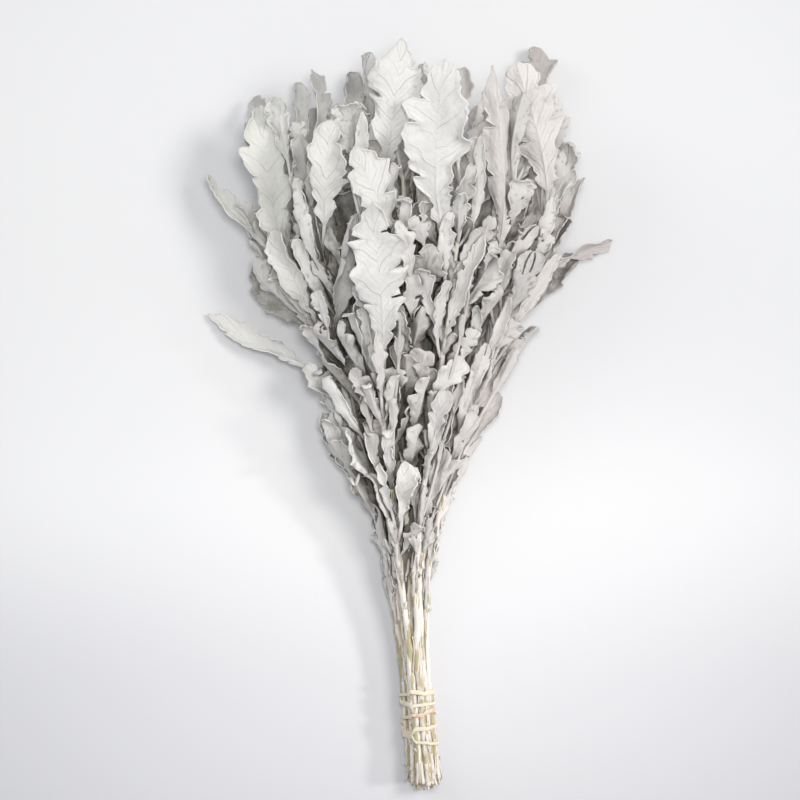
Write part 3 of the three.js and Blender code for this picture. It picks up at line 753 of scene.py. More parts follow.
def fine_leaf(leaf, cell):
    """A leaf's upper and lower side as grids of points, the cells that are kept, and its points' values."""
    draw = seeded(FORM_SEED + leaf.number)
    t = leaf_rows(leaf, cell)
    shares = leaf_columns(leaf, cell)
    v = np.clip((t - leaf.stalk) / (1 - leaf.stalk), 0, 1)[:, None]
    length = blade_length(leaf)
    along = v * length
    lobe_length = length / leaf.lobes
    opened = smoothstep(v, 0, 0.12)
    out, sheet, place = both_sides(draw, leaf, t, v, shares)
    away = np.abs(out)
    u = np.concatenate([-shares[:0:-1], shares])
    span = np.abs(u)[None, :]

    phase = place + leaf.vein_lead * (1 - span**0.85) - leaf.peak
    phase = phase + 0.07 * crumple(draw, out, along, 16)
    ridges = opened * vein_ridges(phase, away, span, lobe_length)
    height = opened * leaf.scale * leaf.relief * dried_height(draw, leaf, out, along, span, phase)

    rib = np.exp(-((away / RIB_WIDTH) ** 2)) * (1 - 0.75 * v)
    round_stalk = STALK_HALF * np.sqrt(np.maximum(1 - span**2, 0.04))
    blade = BLADE_HALF * (1 + 0.5 * span**24)
    half = lerp(round_stalk, blade, opened)
    raised = VEIN_RISE * leaf.veined * ridges
    normal = unit(np.cross(np.gradient(sheet, axis=1), np.gradient(sheet, axis=0)))
    top = sheet + normal * (height + half + opened * RIB_RISE * rib + raised)[..., None]
    bottom = sheet + normal * (height - half - opened * RIB_DROP * rib - raised)[..., None]
    for side in (top, bottom):
        over = np.maximum(side[..., 2] - CEILING, 0)
        side[..., 2] += CEILING_ROOM * np.tanh(over / CEILING_ROOM) - over
    keep_above_surface(top, bottom)

    relief = height + raised
    rim = np.exp(-(np.abs(out[:, [0 if x < 0 else -1 for x in u]]) - away) / 0.7)
    values = {
        "rim": rim * opened,
        "cavity": np.clip(0.5 + 1.6 * (smoothed(relief) - relief), 0, 1),
        "vein_phase": phase,
        "vein_scale": lobe_length * (1 - span**3) * opened * np.ones_like(phase),
        "veined": leaf.veined,
    }
    kept = kept_cells(draw, leaf, v[:, 0], u)
    return top, bottom, kept, values


def grid_cells(rows, columns):
    """The four corners of each cell of a grid of points that are numbered row by row."""
    grid = np.arange(rows * columns).reshape(rows, columns)
    return np.stack([grid[:-1, :-1], grid[:-1, 1:], grid[1:, 1:], grid[1:, :-1]], axis=-1)


def shell(top, bottom, kept):
    """The points of two grids, and faces that close them into a solid, in which cells can be left out."""
    rows, columns = top.shape[:2]
    corners = grid_cells(rows, columns)
    below = rows * columns
    faces = [corners[kept], corners[kept][:, ::-1] + below]
    padded = np.pad(kept, 1)
    neighbours = [padded[:-2, 1:-1], padded[1:-1, 2:], padded[2:, 1:-1], padded[1:-1, :-2]]
    for i, neighbour in enumerate(neighbours):
        open_cells = corners[kept & ~neighbour]
        start, end = open_cells[:, i], open_cells[:, (i + 1) % 4]
        faces.append(np.stack([end, start, start + below, end + below], axis=-1))
    return np.concatenate([top.reshape(-1, 3), bottom.reshape(-1, 3)]), np.concatenate(faces)


# ---- meshes

FOLIAGE, BARK = 0, 1  # places of the materials in a leafy stem's slots


def link_object(name, data):
    made = bpy.data.objects.new(name, data)
    bpy.context.scene.collection.objects.link(made)
    return made


class Mesh:
    """Collects points, faces of four corners, their materials and values for the points' colours."""

    VALUES = ("tone", "warmth", "coat", "rim", "cavity", "vein_phase", "vein_scale", "veined", "worn")

    def __init__(self):
        self.points = []
        self.faces = []
        self.smooth = []
        self.materials = []
        self.values = []
        self.count = 0

    def add(self, points, faces, material, sharp=0, **values):
        """Adds a part. Its last faces, as many as sharp says, have sharp edges. A value is one number, or
        one for each point."""
        points = points.reshape(-1, 3)
        used, renumbered = np.unique(faces, return_inverse=True)
        columns = [np.zeros(len(points)) + np.ravel(values.get(name, 0.0)) for name in self.VALUES]
        self.points.append(points[used])
        self.faces.append(renumbered.reshape(faces.shape) + self.count)
        self.smooth.append(np.arange(len(faces)) < len(faces) - sharp)
        self.materials.append(np.full(len(faces), material))
        self.values.append(np.stack(columns, axis=-1)[used])
        self.count += len(used)

    def build(self, name, materials):
        points = np.concatenate(self.points) * MM
        faces = np.concatenate(self.faces)
        mesh = bpy.data.meshes.new(name)
        mesh.vertices.add(len(points))
        mesh.vertices.foreach_set("co", points.astype(np.float32).ravel())
        mesh.loops.add(faces.size)
        mesh.loops.foreach_set("vertex_index", faces.astype(np.int32).ravel())
        mesh.polygons.add(len(faces))
        mesh.polygons.foreach_set("loop_start", np.arange(0, faces.size, 4, dtype=np.int32))
        mesh.polygons.foreach_set("material_index", np.concatenate(self.materials).astype(np.int32))
        mesh.polygons.foreach_set("use_smooth", np.concatenate(self.smooth))
        mesh.update(calc_edges=True)
        values = np.concatenate(self.values)
        for i, value_name in enumerate(self.VALUES):
            attribute = mesh.attributes.new(value_name, "FLOAT", "POINT")
            attribute.data.foreach_set("value", values[:, i].astype(np.float32))
        for material in materials:
            mesh.materials.append(material)
        return link_object(name, mesh)


# ---- leaves in a leafy stem's mesh

FINEST_CELL = 1.12  # size of the mesh cells of a shown leaf
OUTER_CELL = 1.75
INNER_CELL = 3.0


# How white single shown leaves are, by number: 0 is the grey of an underside, 1 is white.
SHADES = {
    0: 1.1, 1: 1.0, 2: 1.0, 3: 1.0, 4: 1.1, 5: 0.9, 6: 1.1, 7: 0.95, 8: 0.75, 10: 1.0, 13: 0.9,
    21: 0.7, 22: 0.4, 23: -0.1, 24: 1.15, 25: 1.25, 26: -0.2, 27: 0.45, 28: 0.3, 29: 0.35, 30: 0.05, 31: 0.3,
}


def outwardness(points):
    """How far out of the head's middle points lie: 0 at the middle, 1 at the outside."""
    x, y, z = np.moveaxis(points, -1, 0)
    left, right = head_edges(y + MIDDLE)
    top = dome_height((left + right) / 2, y)
    off = np.hypot((x - (left + right) / 2) / ((right - left) / 2), (z - top / 2) / (top / 2))
    return np.clip(off + smoothstep(y + MIDDLE, 320, 430), 0, 1)


def add_leaf(mesh, leaf):
    draw = seeded(COLOUR_SEED + leaf.number)
    centre = bezier(leaf.spine, np.array([0.75]))[0]
    outer = smoothstep(outwardness(centre), 0.4, 0.8)
    cell = FINEST_CELL if leaf.shown else lerp(INNER_CELL, OUTER_CELL, outer)
    top, bottom, kept, values = fine_leaf(leaf, cell)
    points, faces = shell(top, bottom, kept)
    for name, value in values.items():
        values[name] = np.tile(np.ravel(value), 2) if np.ndim(value) else value
    reach = centre[1] + MIDDLE
    # Leaves toward the head's middle are greyer and less coated: partly a thinner coat, partly painted shade
    # inside the head.
    tone = np.full(len(points), 1 - 0.6 * (1 - outer) + draw(-0.25, 0.1))
    coat = smoothstep(outwardness(points), 0.35, 0.8) + draw(-0.15, 0.12)
    if leaf.number in SHADES:
        shade = SHADES[leaf.number]
        tone[:] = shade
        coat[:] = np.maximum(coat, 0.5 + 0.35 * shade) if shade > 0 else 0.35
    # The lower side is greyer: partly a thinner coat, partly painted shade.
    tone[len(points) // 2:] -= 0.25
    warmth = 0.35 * (1 - smoothstep(reach, 250, 340)) + centre[0] / 200 + draw(-0.25, 0.3)
    sharp = len(faces) - 2 * kept.sum()
    mesh.add(points, faces, FOLIAGE, sharp, tone=tone, warmth=warmth, coat=coat, **values)


# ---- stems

STEM_STEP = 2.2
STEM_FACETS = 14
KNOT_LENGTH = 2.2
PITH_RADIUS = 0.55  # share of the stem's radius
PITH_DEPTH = 1.6
FLAKES_PER_STEM = 24
FLAKE_HALF = 0.13  # half the thickness of the coat that peels off
SHRED_START = 1.7  # least reach of a shred
SHREDS_PER_STEM = 4


def tube_faces(rings):
    """Faces round rings of points, one after the other, that are closed at both ends."""
    count, facets = rings.shape[:2]
    grid = np.arange(count * facets).reshape(count, facets)
    ahead = np.roll(grid, -1, axis=1)
    walls = np.stack([grid[:-1], ahead[:-1], ahead[1:], grid[1:]], axis=-1).reshape(-1, 4)
    fan_of = lambda ring: [(ring[0], ring[j], ring[j + 1], ring[j + 2]) for j in range(1, facets - 2, 2)]
    first = np.array(fan_of(grid[0]))[:, ::-1]
    return np.concatenate([walls, first, fan_of(grid[-1])])


def add_strip(mesh, strip, away, lift, **values):
    """A thin strip of coat or bark, lifted away from the stem."""
    top = strip + away * (lift + FLAKE_HALF)
    bottom = strip + away * (lift - FLAKE_HALF)
    for side in (top, bottom):
        side[..., 1] = np.maximum(side[..., 1], SHRED_START - MIDDLE)
    keep_above_surface(top, bottom)
    rows, columns = strip.shape[:2]
    mesh.add(*shell(top, bottom, np.ones((rows - 1, columns - 1), bool)), BARK, **values)


def narrowed(strip, share):
    spine = strip[:, 1:2]
    return spine + (strip - spine) * share


def add_flakes(mesh, draw, wall, outward, tone):
    """Strips of the coat that have split and stand off the bark of the lower stem."""
    rows, facets = wall.shape[:2]
    for _ in range(FLAKES_PER_STEM):
        first = int(draw() ** 1.8 * rows * 0.6) + 1
        picked = np.arange(first, min(first + int(draw(2, 8)), rows))
        around = (int(draw(0, facets)) + np.arange(3)) % facets
        if len(picked) < 2:
            continue
        share = np.linspace(0, 1, len(picked))
        if draw() < 0.5:
            share = share[::-1]
        patch = narrowed(wall[picked][:, around], lerp(1, draw(0.2, 0.8), share)[:, None, None])
        share = share[:, None]
        lift = 0.16 + draw(0.3, 1.3) * share**2 + 0.25 * np.array([1, 0, 1]) * share
        away = outward[picked][:, around]
        add_strip(mesh, patch, away, lift[..., None], tone=tone, warmth=0.1, worn=-0.6)


def add_shreds(mesh, draw, wall, outward, along):
    """Slivers of bark that the cut has left on the end of a stem."""
    facets = wall.shape[1]
    for _ in range(SHREDS_PER_STEM):
        around = (int(draw(0, facets)) + np.arange(3)) % facets
        share = np.linspace(0, 1, 5)[:, None, None]
        away = outward[1][around]
        strip = narrowed(wall[2][around][None], lerp(1.1, 0.2, share))
        strip = strip - along * share * draw(2, 6) + away * (0.12 + draw(0.2, 1.6) * share**2)
        worn = np.tile(np.repeat(np.linspace(0, 1, 5), 3), 2)
        add_strip(mesh, strip, away, 0, tone=0.8, warmth=0.3, worn=worn)


def add_stem(mesh, stem):
    draw = seeded(STEM_SEED + stem.number)
    reach = np.arange(stem.start, stem.end, STEM_STEP)
    angle = np.linspace(0, 2 * np.pi, STEM_FACETS, endpoint=False)[None, :]
    along = stem_direction(stem, reach)
    side = unit(np.array([1, 0, 0]) - along * along[:, :1])
    upward = np.cross(side, along)
    where = reach[:, None] + 0 * angle

    knots = sum(
        np.exp(-(((where - knot) / KNOT_LENGTH) ** 2))
        * (0.12 + 0.2 * np.cos(angle - draw(0, 2 * math.pi)) ** 2)
        for knot in np.arange(stem.start + draw(8, 20), stem.end, draw(15, 21))
    )
    ribs = 0.07 * np.cos(5 * angle + 0.02 * where + draw(0, 6)) + 0.03 * np.cos(9 * angle + draw(0, 6))
    rough = 0.05 * crumple(draw, where, 3 * np.cos(angle), 9)
    rough = rough + 0.04 * crumple(draw, where, 3 * np.sin(angle), 5)
    swollen = 0.12 * np.exp(-(where - stem.start) / 7)
    radius = stem_radius(stem, where) * (0.96 + knots + ribs + rough + swollen)
    sway = 0.35 * crumple(draw, reach, 0, 45)
    middle = stem_point(stem, reach) + sway[:, None] * side
    outward = side[:, None] * np.cos(angle)[..., None] + upward[:, None] * np.sin(angle)[..., None]
    wall = middle[:, None] + outward * radius[..., None]
    slant = stem_radius(stem, reach[0]) * np.cos(angle[0]) * stem.cut_slant
    ragged = 0.45 * crumple(draw, 3 * angle[0], 0, 3)
    opened = draw(0.3, 1.4) * stem_radius(stem, reach[0]) * (1 + np.sin(angle[0]))
    wall[0] += along[0] * np.maximum(slant + ragged + opened, -stem.start - 0.5)[:, None]

    cut = wall[0].mean(axis=0)
    top = wall[-1].mean(axis=0)
    wood = [(0.02, PITH_DEPTH * 0.7), (PITH_RADIUS * 0.8, PITH_DEPTH), (PITH_RADIUS, 0.3), (0.85, 0.05)]
    ends = [(0.6, 0.9), (0.02, 1.2)]
    cut_rings = [cut + (wall[0] - cut) * share + along[0] * depth for share, depth in wood]
    top_rings = [top * (1 - share) + wall[-1] * share + along[-1] * rise for share, rise in ends]
    rings = np.concatenate([cut_rings, wall, top_rings])
    keep_above_surface(rings)
    worn = smoothstep(rings[..., 1] + MIDDLE, 230, 20)
    worn[:3] = 3
    tone = draw(0.75, 1)
    mesh.add(rings, tube_faces(rings), BARK, tone=tone, warmth=draw(-0.2, 0.4), worn=worn)
    add_flakes(mesh, draw, wall, outward, tone)
    add_shreds(mesh, draw, wall, outward, along[0])


# ---- materials

class Shader:
    """A material and its nodes. A node's inputs are values or the sockets that feed them."""

    def __init__(self, name):
        self.material = bpy.data.materials.new(name)
        self.material.use_nodes = True
        self.tree = self.material.node_tree
        self.place = self.stretched((1, 1, 1))

    def feed(self, made, key, value):
        if isinstance(value, bpy.types.NodeSocket):
            self.tree.links.new(value, made.inputs[key])
        else:
            made.inputs[key].default_value = value

    def node(self, kind, inputs, **settings):
        made = self.tree.nodes.new(f"ShaderNode{kind}")
        for name, value in settings.items():
            setattr(made, name, value)
        for key, value in inputs.items():
            self.feed(made, key, value)
        return made

    def with_surface(self, inputs):
        """The material, once its surface is fed."""
        for name, value in inputs.items():
            self.feed(self.tree.nodes["Principled BSDF"], name, value)
        return self.material

    def stretched(self, scale):
        place = self.node("TexCoord", {}).outputs["Object"]
        return self.node("Mapping", {"Vector": place, "Scale": scale}).outputs[0]

    def value(self, name):
        return self.node("Attribute", {}, attribute_name=name).outputs["Fac"]

    def calculate(self, operation, a, b, clamp=False):
        return self.node("Math", {0: a, 1: b}, operation=operation, use_clamp=clamp).outputs[0]

    def sum(self, a, b, clamp=False):
        return self.calculate("ADD", a, b, clamp)

    def product(self, a, b):
        return self.calculate("MULTIPLY", a, b)

    def mix(self, factor, a, b, blend="MIX"):
        a, b = [c if isinstance(c, bpy.types.NodeSocket) else (*c, 1) for c in (a, b)]
        return self.node("Mix", {0: factor, 6: a, 7: b}, data_type="RGBA", blend_type=blend).outputs[2]

    def tint(self, colour, factor, cast):
        return self.mix(factor, colour, cast, "MULTIPLY")

    def noise(self, scale, detail=3, roughness=0.55, distortion=0, place=None):
        return self.node("TexNoise", {
            "Vector": place or self.place,
            "Scale": scale,
            "Detail": detail,
            "Roughness": roughness,
            "Distortion": distortion,
        }).outputs["Fac"]

    def ramp(self, value, low, high, to_low=0, to_high=1):
        inputs = {"Value": value, "From Min": low, "From Max": high, "To Min": to_low, "To Max": to_high}
        return self.node("MapRange", inputs, interpolation_type="SMOOTHSTEP").outputs[0]

    def bump(self, height, strength, distance, under=None):
        inputs = {"Height": height, "Strength": strength, "Distance": distance * MM}
        if under:
            inputs["Normal"] = under
        return self.node("Bump", inputs).outputs[0]

    def openness(self, distance):
        """From 0 in a crevice to 1 in the open. In the leaves it sets how far the sprayed coat gets into a
        place and the painted shade in crevices; on the stems it sets painted shade only.
        """
        return self.node("AmbientOcclusion", {"Distance": distance * MM}, samples=4).outputs["AO"]


COAT_WHITE = (0.79, 0.775, 0.75)
COAT_GREY = (0.49, 0.47, 0.45)
# The colour of the painted highlight on rims and raised veins.
RIM_AND_VEIN_HIGHLIGHT = (0.83, 0.82, 0.795)
PINK_CAST = (1.03, 0.975, 0.97)
GREEN_CAST = (0.975, 1.0, 0.955)
BARE_OLIVE = (0.26, 0.255, 0.20)
BARE_BROWN = (0.20, 0.175, 0.14)
HOLLOW_SHADE = (0.6, 0.58, 0.55)
CREVICE_SHADE = (0.31, 0.295, 0.275)

# Where side veins run between two lobes, their width and how strong they are.
VEIN_LINES = [(0, 0.5, 1.0), (0.5, 0.4, 0.6), (0.25, 0.3, 0.35), (0.75, 0.3, 0.35)]


def vein_lines(leaf):
    """Thin raised lines where the side veins run, and finer ones between them."""
    phase = leaf.value("vein_phase")
    scale = leaf.value("vein_scale")
    lines = 0.0
    for offset, width, strength in VEIN_LINES:
        beside = leaf.calculate("PINGPONG", leaf.sum(phase, 10 + offset), 0.5)
        line = leaf.ramp(leaf.product(beside, scale), width, 0.04, 0, strength)
        lines = leaf.calculate("MAXIMUM", line, lines)
    strength = leaf.product(leaf.value("veined"), leaf.ramp(scale, 0.5, 4))
    return leaf.product(lines, strength)


def foliage_material():
    leaf = Shader("felted_leaf_with_white_coat")
    veins = vein_lines(leaf)
    patches = leaf.ramp(leaf.noise(70, 4), 0.3, 0.7, -0.15, 0.08)
    colour = leaf.mix(leaf.sum(leaf.value("tone"), patches, clamp=True), COAT_GREY, COAT_WHITE)
    warmth = leaf.value("warmth")
    colour = leaf.tint(colour, leaf.ramp(warmth, 0, 1), PINK_CAST)
    colour = leaf.tint(colour, leaf.ramp(warmth, 0, -1), GREEN_CAST)

    cavity = leaf.value("cavity")
    colour = leaf.tint(colour, leaf.ramp(cavity, 0.55, 1.1), HOLLOW_SHADE)
    # Painted highlight: rims and raised veins are made lighter than the coat.
    rim = leaf.product(leaf.value("rim"), leaf.ramp(leaf.noise(200), 0.4, 0.6))
    raised = leaf.calculate("MAXIMUM", rim, leaf.product(veins, 0.8))
    colour = leaf.mix(leaf.product(raised, 0.45), colour, RIM_AND_VEIN_HIGHLIGHT)

    # Openness gives crevices a thinner coat, which is partly real, and painted shade.
    coat_reach_and_shade = leaf.openness(14)
    bare = leaf.mix(leaf.ramp(leaf.noise(110), 0.4, 0.6), BARE_OLIVE, BARE_BROWN)
    uneven = leaf.ramp(leaf.noise(170, 5, 0.65), 0.25, 0.75, -0.3, 0.26)
    coat = leaf.sum(leaf.sum(leaf.value("coat"), uneven), leaf.ramp(coat_reach_and_shade, 0.1, 0.55, -0.45, 0))
    colour = leaf.mix(leaf.ramp(coat, 0.6, 0.0, 0, 0.85), colour, bare)
    chipped = leaf.sum(leaf.noise(520, 5, 0.7), leaf.product(cavity, 0.07))
    colour = leaf.mix(leaf.ramp(chipped, 0.745, 0.785, 0, 0.8), colour, bare)
    # Painted shade: crevices are darkened by how little is open around them.
    colour = leaf.tint(colour, leaf.ramp(coat_reach_and_shade, 0.7, 0.1), CREVICE_SHADE)

    felt = leaf.noise(1500, 4, 0.7)
    net = leaf.node("TexVoronoi", {"Vector": leaf.place, "Scale": 420}, feature="DISTANCE_TO_EDGE")
    bumped = leaf.bump(felt, 0.35, 0.15)
    bumped = leaf.bump(leaf.noise(420, 4, 0.65), 0.55, 0.4, bumped)
    bumped = leaf.bump(leaf.ramp(net.outputs["Distance"], 0, 0.25), 0.3, 0.2, bumped)
    return leaf.with_surface({
        "Base Color": colour,
        "Normal": leaf.bump(veins, 0.8, 0.5, bumped),
        "Roughness": leaf.ramp(felt, 0.2, 0.8, 0.82, 1.0),
        "Sheen Weight": 0.1,
        "Sheen Roughness": 0.6,
        "Specular IOR Level": 0.2,
    })


BARK_WHITE = (0.79, 0.75, 0.70)
BARK_CREAM = (0.80, 0.755, 0.70)
BARK_STREAK = (0.62, 0.54, 0.49)
BARK_SPECK = (0.26, 0.2, 0.13)
BARK_OLIVE = (0.42, 0.40, 0.23)
BARK_TAN = (0.55, 0.42, 0.24)
PITH_TAN = (0.66, 0.50, 0.26)
# The painted shade in the crevices of and between the stems.
BARK_CREVICE_SHADE = (0.83, 0.775, 0.70)


def bark_material():
    bark = Shader("peeling_white_coat_on_stem")
    long_place = bark.stretched((1, 0.04, 1))
    streaks = bark.noise(900, 3, 0.6, place=long_place)
    coat = bark.mix(bark.value("tone"), BARK_CREAM, BARK_WHITE)
    coat = bark.mix(bark.ramp(streaks, 0.42, 0.66, 0, 0.4), coat, BARK_STREAK)
    coat = bark.mix(bark.ramp(bark.noise(620, 4, 0.6), 0.66, 0.72, 0, 0.7), coat, BARK_SPECK)
    bare = bark.mix(bark.ramp(bark.noise(110), 0.42, 0.62), BARK_OLIVE, BARK_TAN)
    worn = bark.value("worn")
    bare = bark.mix(bark.ramp(worn, 2, 3), bare, PITH_TAN)
    peeled = bark.noise(340, 4, 0.55, 0.3, long_place)
    is_bare = bark.ramp(bark.sum(peeled, bark.product(worn, 0.13)), 0.63, 0.65)
    # Painted shade: the bark is darkened where little is open around it.
    colour = bark.tint(bark.mix(is_bare, coat, bare), bark.ramp(bark.openness(3), 0.8, 0.1), BARK_CREVICE_SHADE)
    grooves = bark.bump(streaks, 0.6, 0.35)
    return bark.with_surface({
        "Base Color": colour,
        "Normal": bark.bump(bark.calculate("SUBTRACT", 1.0, is_bare), 0.8, 0.3, grooves),
        "Roughness": bark.ramp(is_bare, 0, 1, 0.92, 0.6),
        "Specular IOR Level": 0.3,
    })


BAND_CREAM = (0.74, 0.65, 0.49)
BAND_WHITE = (0.76, 0.70, 0.615)
BAND_ORANGE = (0.66, 0.36, 0.22)
BAND_CRACK = (0.50, 0.38, 0.22)


def band_material():
    band = Shader("elastic_with_white_coat")
    patches = band.noise(160, 4)
    colour = band.mix(band.ramp(patches, 0.4, 0.62), BAND_CREAM, BAND_WHITE)
    worn = band.ramp(band.noise(260, 4), 0.5, 0.6, 0.15, 0.75)
    colour = band.mix(band.product(worn, band.value("worn")), colour, BAND_ORANGE)
    colour = band.mix(band.ramp(band.noise(900, 3, 0.7), 0.62, 0.68, 0, 0.5), colour, BAND_CRACK)
    return band.with_surface({
        "Base Color": colour,
        "Normal": band.bump(band.noise(700), 0.5, 0.3),
        "Roughness": band.ramp(patches, 0.3, 0.7, 0.5, 0.8),
    })


# ---- the band

BAND_STEP = 6  # degrees
BAND_SIDES = 12
BAND_ROUNDING = 0.6  # power that makes the section a rounded box


def support_of(reach, angle):
    places = [stem_point(stem, max(reach, TIE_LOW)) for stem in STEMS]
    return max(p[0] * math.cos(angle) + p[2] * math.sin(angle) for p in places)


def band_ring(degree):
    """The points of the band's section at an angle round the stems, which runs on from turn to turn."""
    half_turns = len(BAND_REACHES)
    half_turn, share = divmod(degree / 180, 1)
    start = BAND_REACHES[int(half_turn)]
    end = BAND_REACHES[(int(half_turn) + 1) % half_turns]
    turns = 2 * math.pi * degree / (180 * half_turns)
    reach = lerp(start, end, smoothstep(share, 0, 1))
    reach = reach + 1.5 * math.sin(7 * turns) + 0.8 * math.sin(17 * turns + 1)
    angle = math.radians(degree)
    nudge = 1e-3
    change = (support_of(reach, angle + nudge) - support_of(reach, angle - nudge)) / (2 * nudge)
    outward = np.array([math.cos(angle), 0, math.sin(angle)])
    onward = np.array([-math.sin(angle), 0, math.cos(angle)])
    inside = support_of(reach, angle) + STEM_RADIUS + BAND_GAP
    middle = outward * (inside + BAND_THICKNESS / 2) + onward * change + (0, reach - MIDDLE, 0)
    width = BAND_WIDTH / 2 * (0.77 + 0.14 * math.sin(8 * turns) + 0.08 * math.sin(23 * turns))
    twist = 0.1 * math.sin(degree / 53) if math.sin(angle) > 0.1 else 0
    ring = []
    for corner in np.linspace(0, 2 * np.pi, BAND_SIDES, endpoint=False):
        rounded = lambda x: np.sign(x) * abs(x) ** BAND_ROUNDING
        a = rounded(math.cos(corner)) * BAND_THICKNESS * 0.48
        b = rounded(math.sin(corner)) * width
        ring.append(middle + outward * (a * math.cos(twist) - b * math.sin(twist))
                    + np.array([0, 1, 0]) * (a * math.sin(twist) + b * math.cos(twist)))
    return ring


def band_piece():
    degrees = range(0, len(BAND_REACHES) * 180, BAND_STEP)
    rings = np.array([band_ring(degree) for degree in degrees])
    keep_above_surface(rings)
    worn = [1.0 if 4.1 < degree / 180 < 4.9 else 0.0 for degree in degrees]
    count, sides = rings.shape[:2]
    grid = np.arange(count * sides).reshape(count, sides)
    ahead = np.roll(grid, -1, axis=0)
    faces = np.stack([grid, ahead, np.roll(ahead, -1, axis=1), np.roll(grid, -1, axis=1)], axis=-1)
    mesh = Mesh()
    mesh.add(rings, faces.reshape(-1, 4), 0, worn=np.repeat(worn, sides))
    return mesh.build("wound_elastic_band", [band_material()])


# ---- small leaves between the others

SMALL_ATTEMPTS = 9
OUTWARD_SPREAD = 1.7  # rad, to each side of the way out of the bunch
CLEARANCE_CELL = 6

# Kinds of small leaves: how many grow on a stem, ranges of their reach, length, leaving and ending angle in
# degrees, stalk, slimness and notch, and their lobes and fullness.
SMALL_KINDS = [
    (5, (150, 290), (50, 95), (10, 24), (0, 10), (0.55, 0.75), (0.08, 0.13), (0.2, 0.5), 2, 0.6),
    (3, (104, 146), (18, 40), (5, 12), (0, 5), (0.05, 0.15), (0.16, 0.28), (0.05, 0.3), 2, 0.4),
    (10, (142, 270), (34, 70), (14, 28), (1, 11), (0.08, 0.2), (0.14, 0.24), (0.05, 0.25), 2, 0.4),
    (10, (136, 330), (12, 28), (25, 48), (5, 30), (0.1, 0.25), (0.28, 0.5), (0.2, 0.5), 2, 0.55),
    (5, (270, 350), (26, 50), (20, 35), (4, 20), (0.12, 0.25), (0.24, 0.42), (0.2, 0.5), 3, 0.7),
]

# Kinds of leaves laid in line with the fan of the stems: how many, ranges of their reach, their depth below
# the dome and their place across the head, the share of narrow ones, and how fully they follow the fan.
LAID_KINDS = [
    (16, (112, 150), (4, 14), (-0.7, 0.7), 1, 1),
    (230, (124, 322), (1, 9), (-0.9, 0.9), 0.5, 1),
    (80, (300, 408), (4, 34), (-1.0, 1.0), 0.3, 0.4),
]
LAID_ATTEMPTS = 12
# Single leaves that fill the right edge of the head, with the columns of SHOWN_LEAVES.
EDGE_LEAVES = [
    (84, 118, 100, 166, 18, 10, 3, 0.4, -20, 0.2, 0.6, 4),
    (76, 138, 90, 184, 17, 18, 3, 0.4, 16, 0.2, 0.5, 3),
    (80, 80, 97, 126, 14, 14, 3, 0.4, -26, 0.2, 0.6, 3),
]
FARTHEST_CARRIER = 16  # across, from the root to the blade
MOST_HIDDEN = 0.12  # share of a small leaf that may lie over leaves that are shown


def blade_grid(leaf):
    """The points and faces of a leaf's blade as a coarse sheet."""
    t = np.linspace(leaf.stalk, 0.98, max(4, math.ceil(blade_length(leaf) / CLEARANCE_CELL)))
    shares = np.linspace(0, 1, 3)
    halves = [half_sheet(leaf, t, side, half_width(leaf, t, side)[:, None] * shares) for side in (-1, 1)]
    sheet = joined(*halves)
    return sheet.reshape(-1, 3), grid_cells(*sheet.shape[:2]).reshape(-1, 4)


def coarse_sheet(leaf):
    """A leaf's coarse sheet: its points, a tree of its faces, and its box's corners."""
    points, quads = blade_grid(leaf)
    return points, BVHTree.FromPolygons(points.tolist(), quads.tolist()), points.min(0), points.max(0)


def shown_surface(leaves):
    """A tree of the blades of the leaves that are shown."""
    points, faces = [], []
    for leaf in leaves:
        if leaf.number in SHADES:
            corners, quads = blade_grid(leaf)
            faces += (quads + len(points)).tolist()
            points += corners.tolist()
    return BVHTree.FromPolygons(points, faces)


def hides(points, shown):
    """Whether a leaf lies over a good part of a leaf that is shown."""
    hits = [shown.ray_cast(Vector(p), Vector((0, 0, -1)), 30)[0] is not None for p in points]
    return sum(hits) > MOST_HIDDEN * len(hits)


def small_leaf(stem, kind, number, index, attempt):
    """A small leaf between the leaves that the CAD model has, on the side that faces out of the bunch."""
    count, reaches, lengths, leavings, endings, stalks, slimnesses, notches, lobes, fullness = kind
    draw = seeded(number)
    low, high = reaches
    reach = lerp(low, min(high, stem.end - 8), index / count + draw(0, 1 / count))
    length = draw(*lengths) * 0.95**attempt
    way_out = math.atan2(stem.across, stem.layer)
    turn = way_out + draw(-OUTWARD_SPREAD, OUTWARD_SPREAD) + attempt * math.radians(67)
    leaving = math.radians(draw(*leavings))
    ending = math.radians(draw(*endings))
    leaf = grown_leaf(draw, stem, reach, turn, length, leaving, ending, lobes,
                      draw(*stalks), draw(*slimnesses), draw(*notches), attempt % 3 - 1)
    leaf.facing = leaf.facing + (0, 0, 0.8 * np.sign(leaf.facing[2]))
    leaf.curl *= 1.4
    leaf.fold += draw(-0.2, 0.4)
    leaf.fullness = fullness
    return leaf


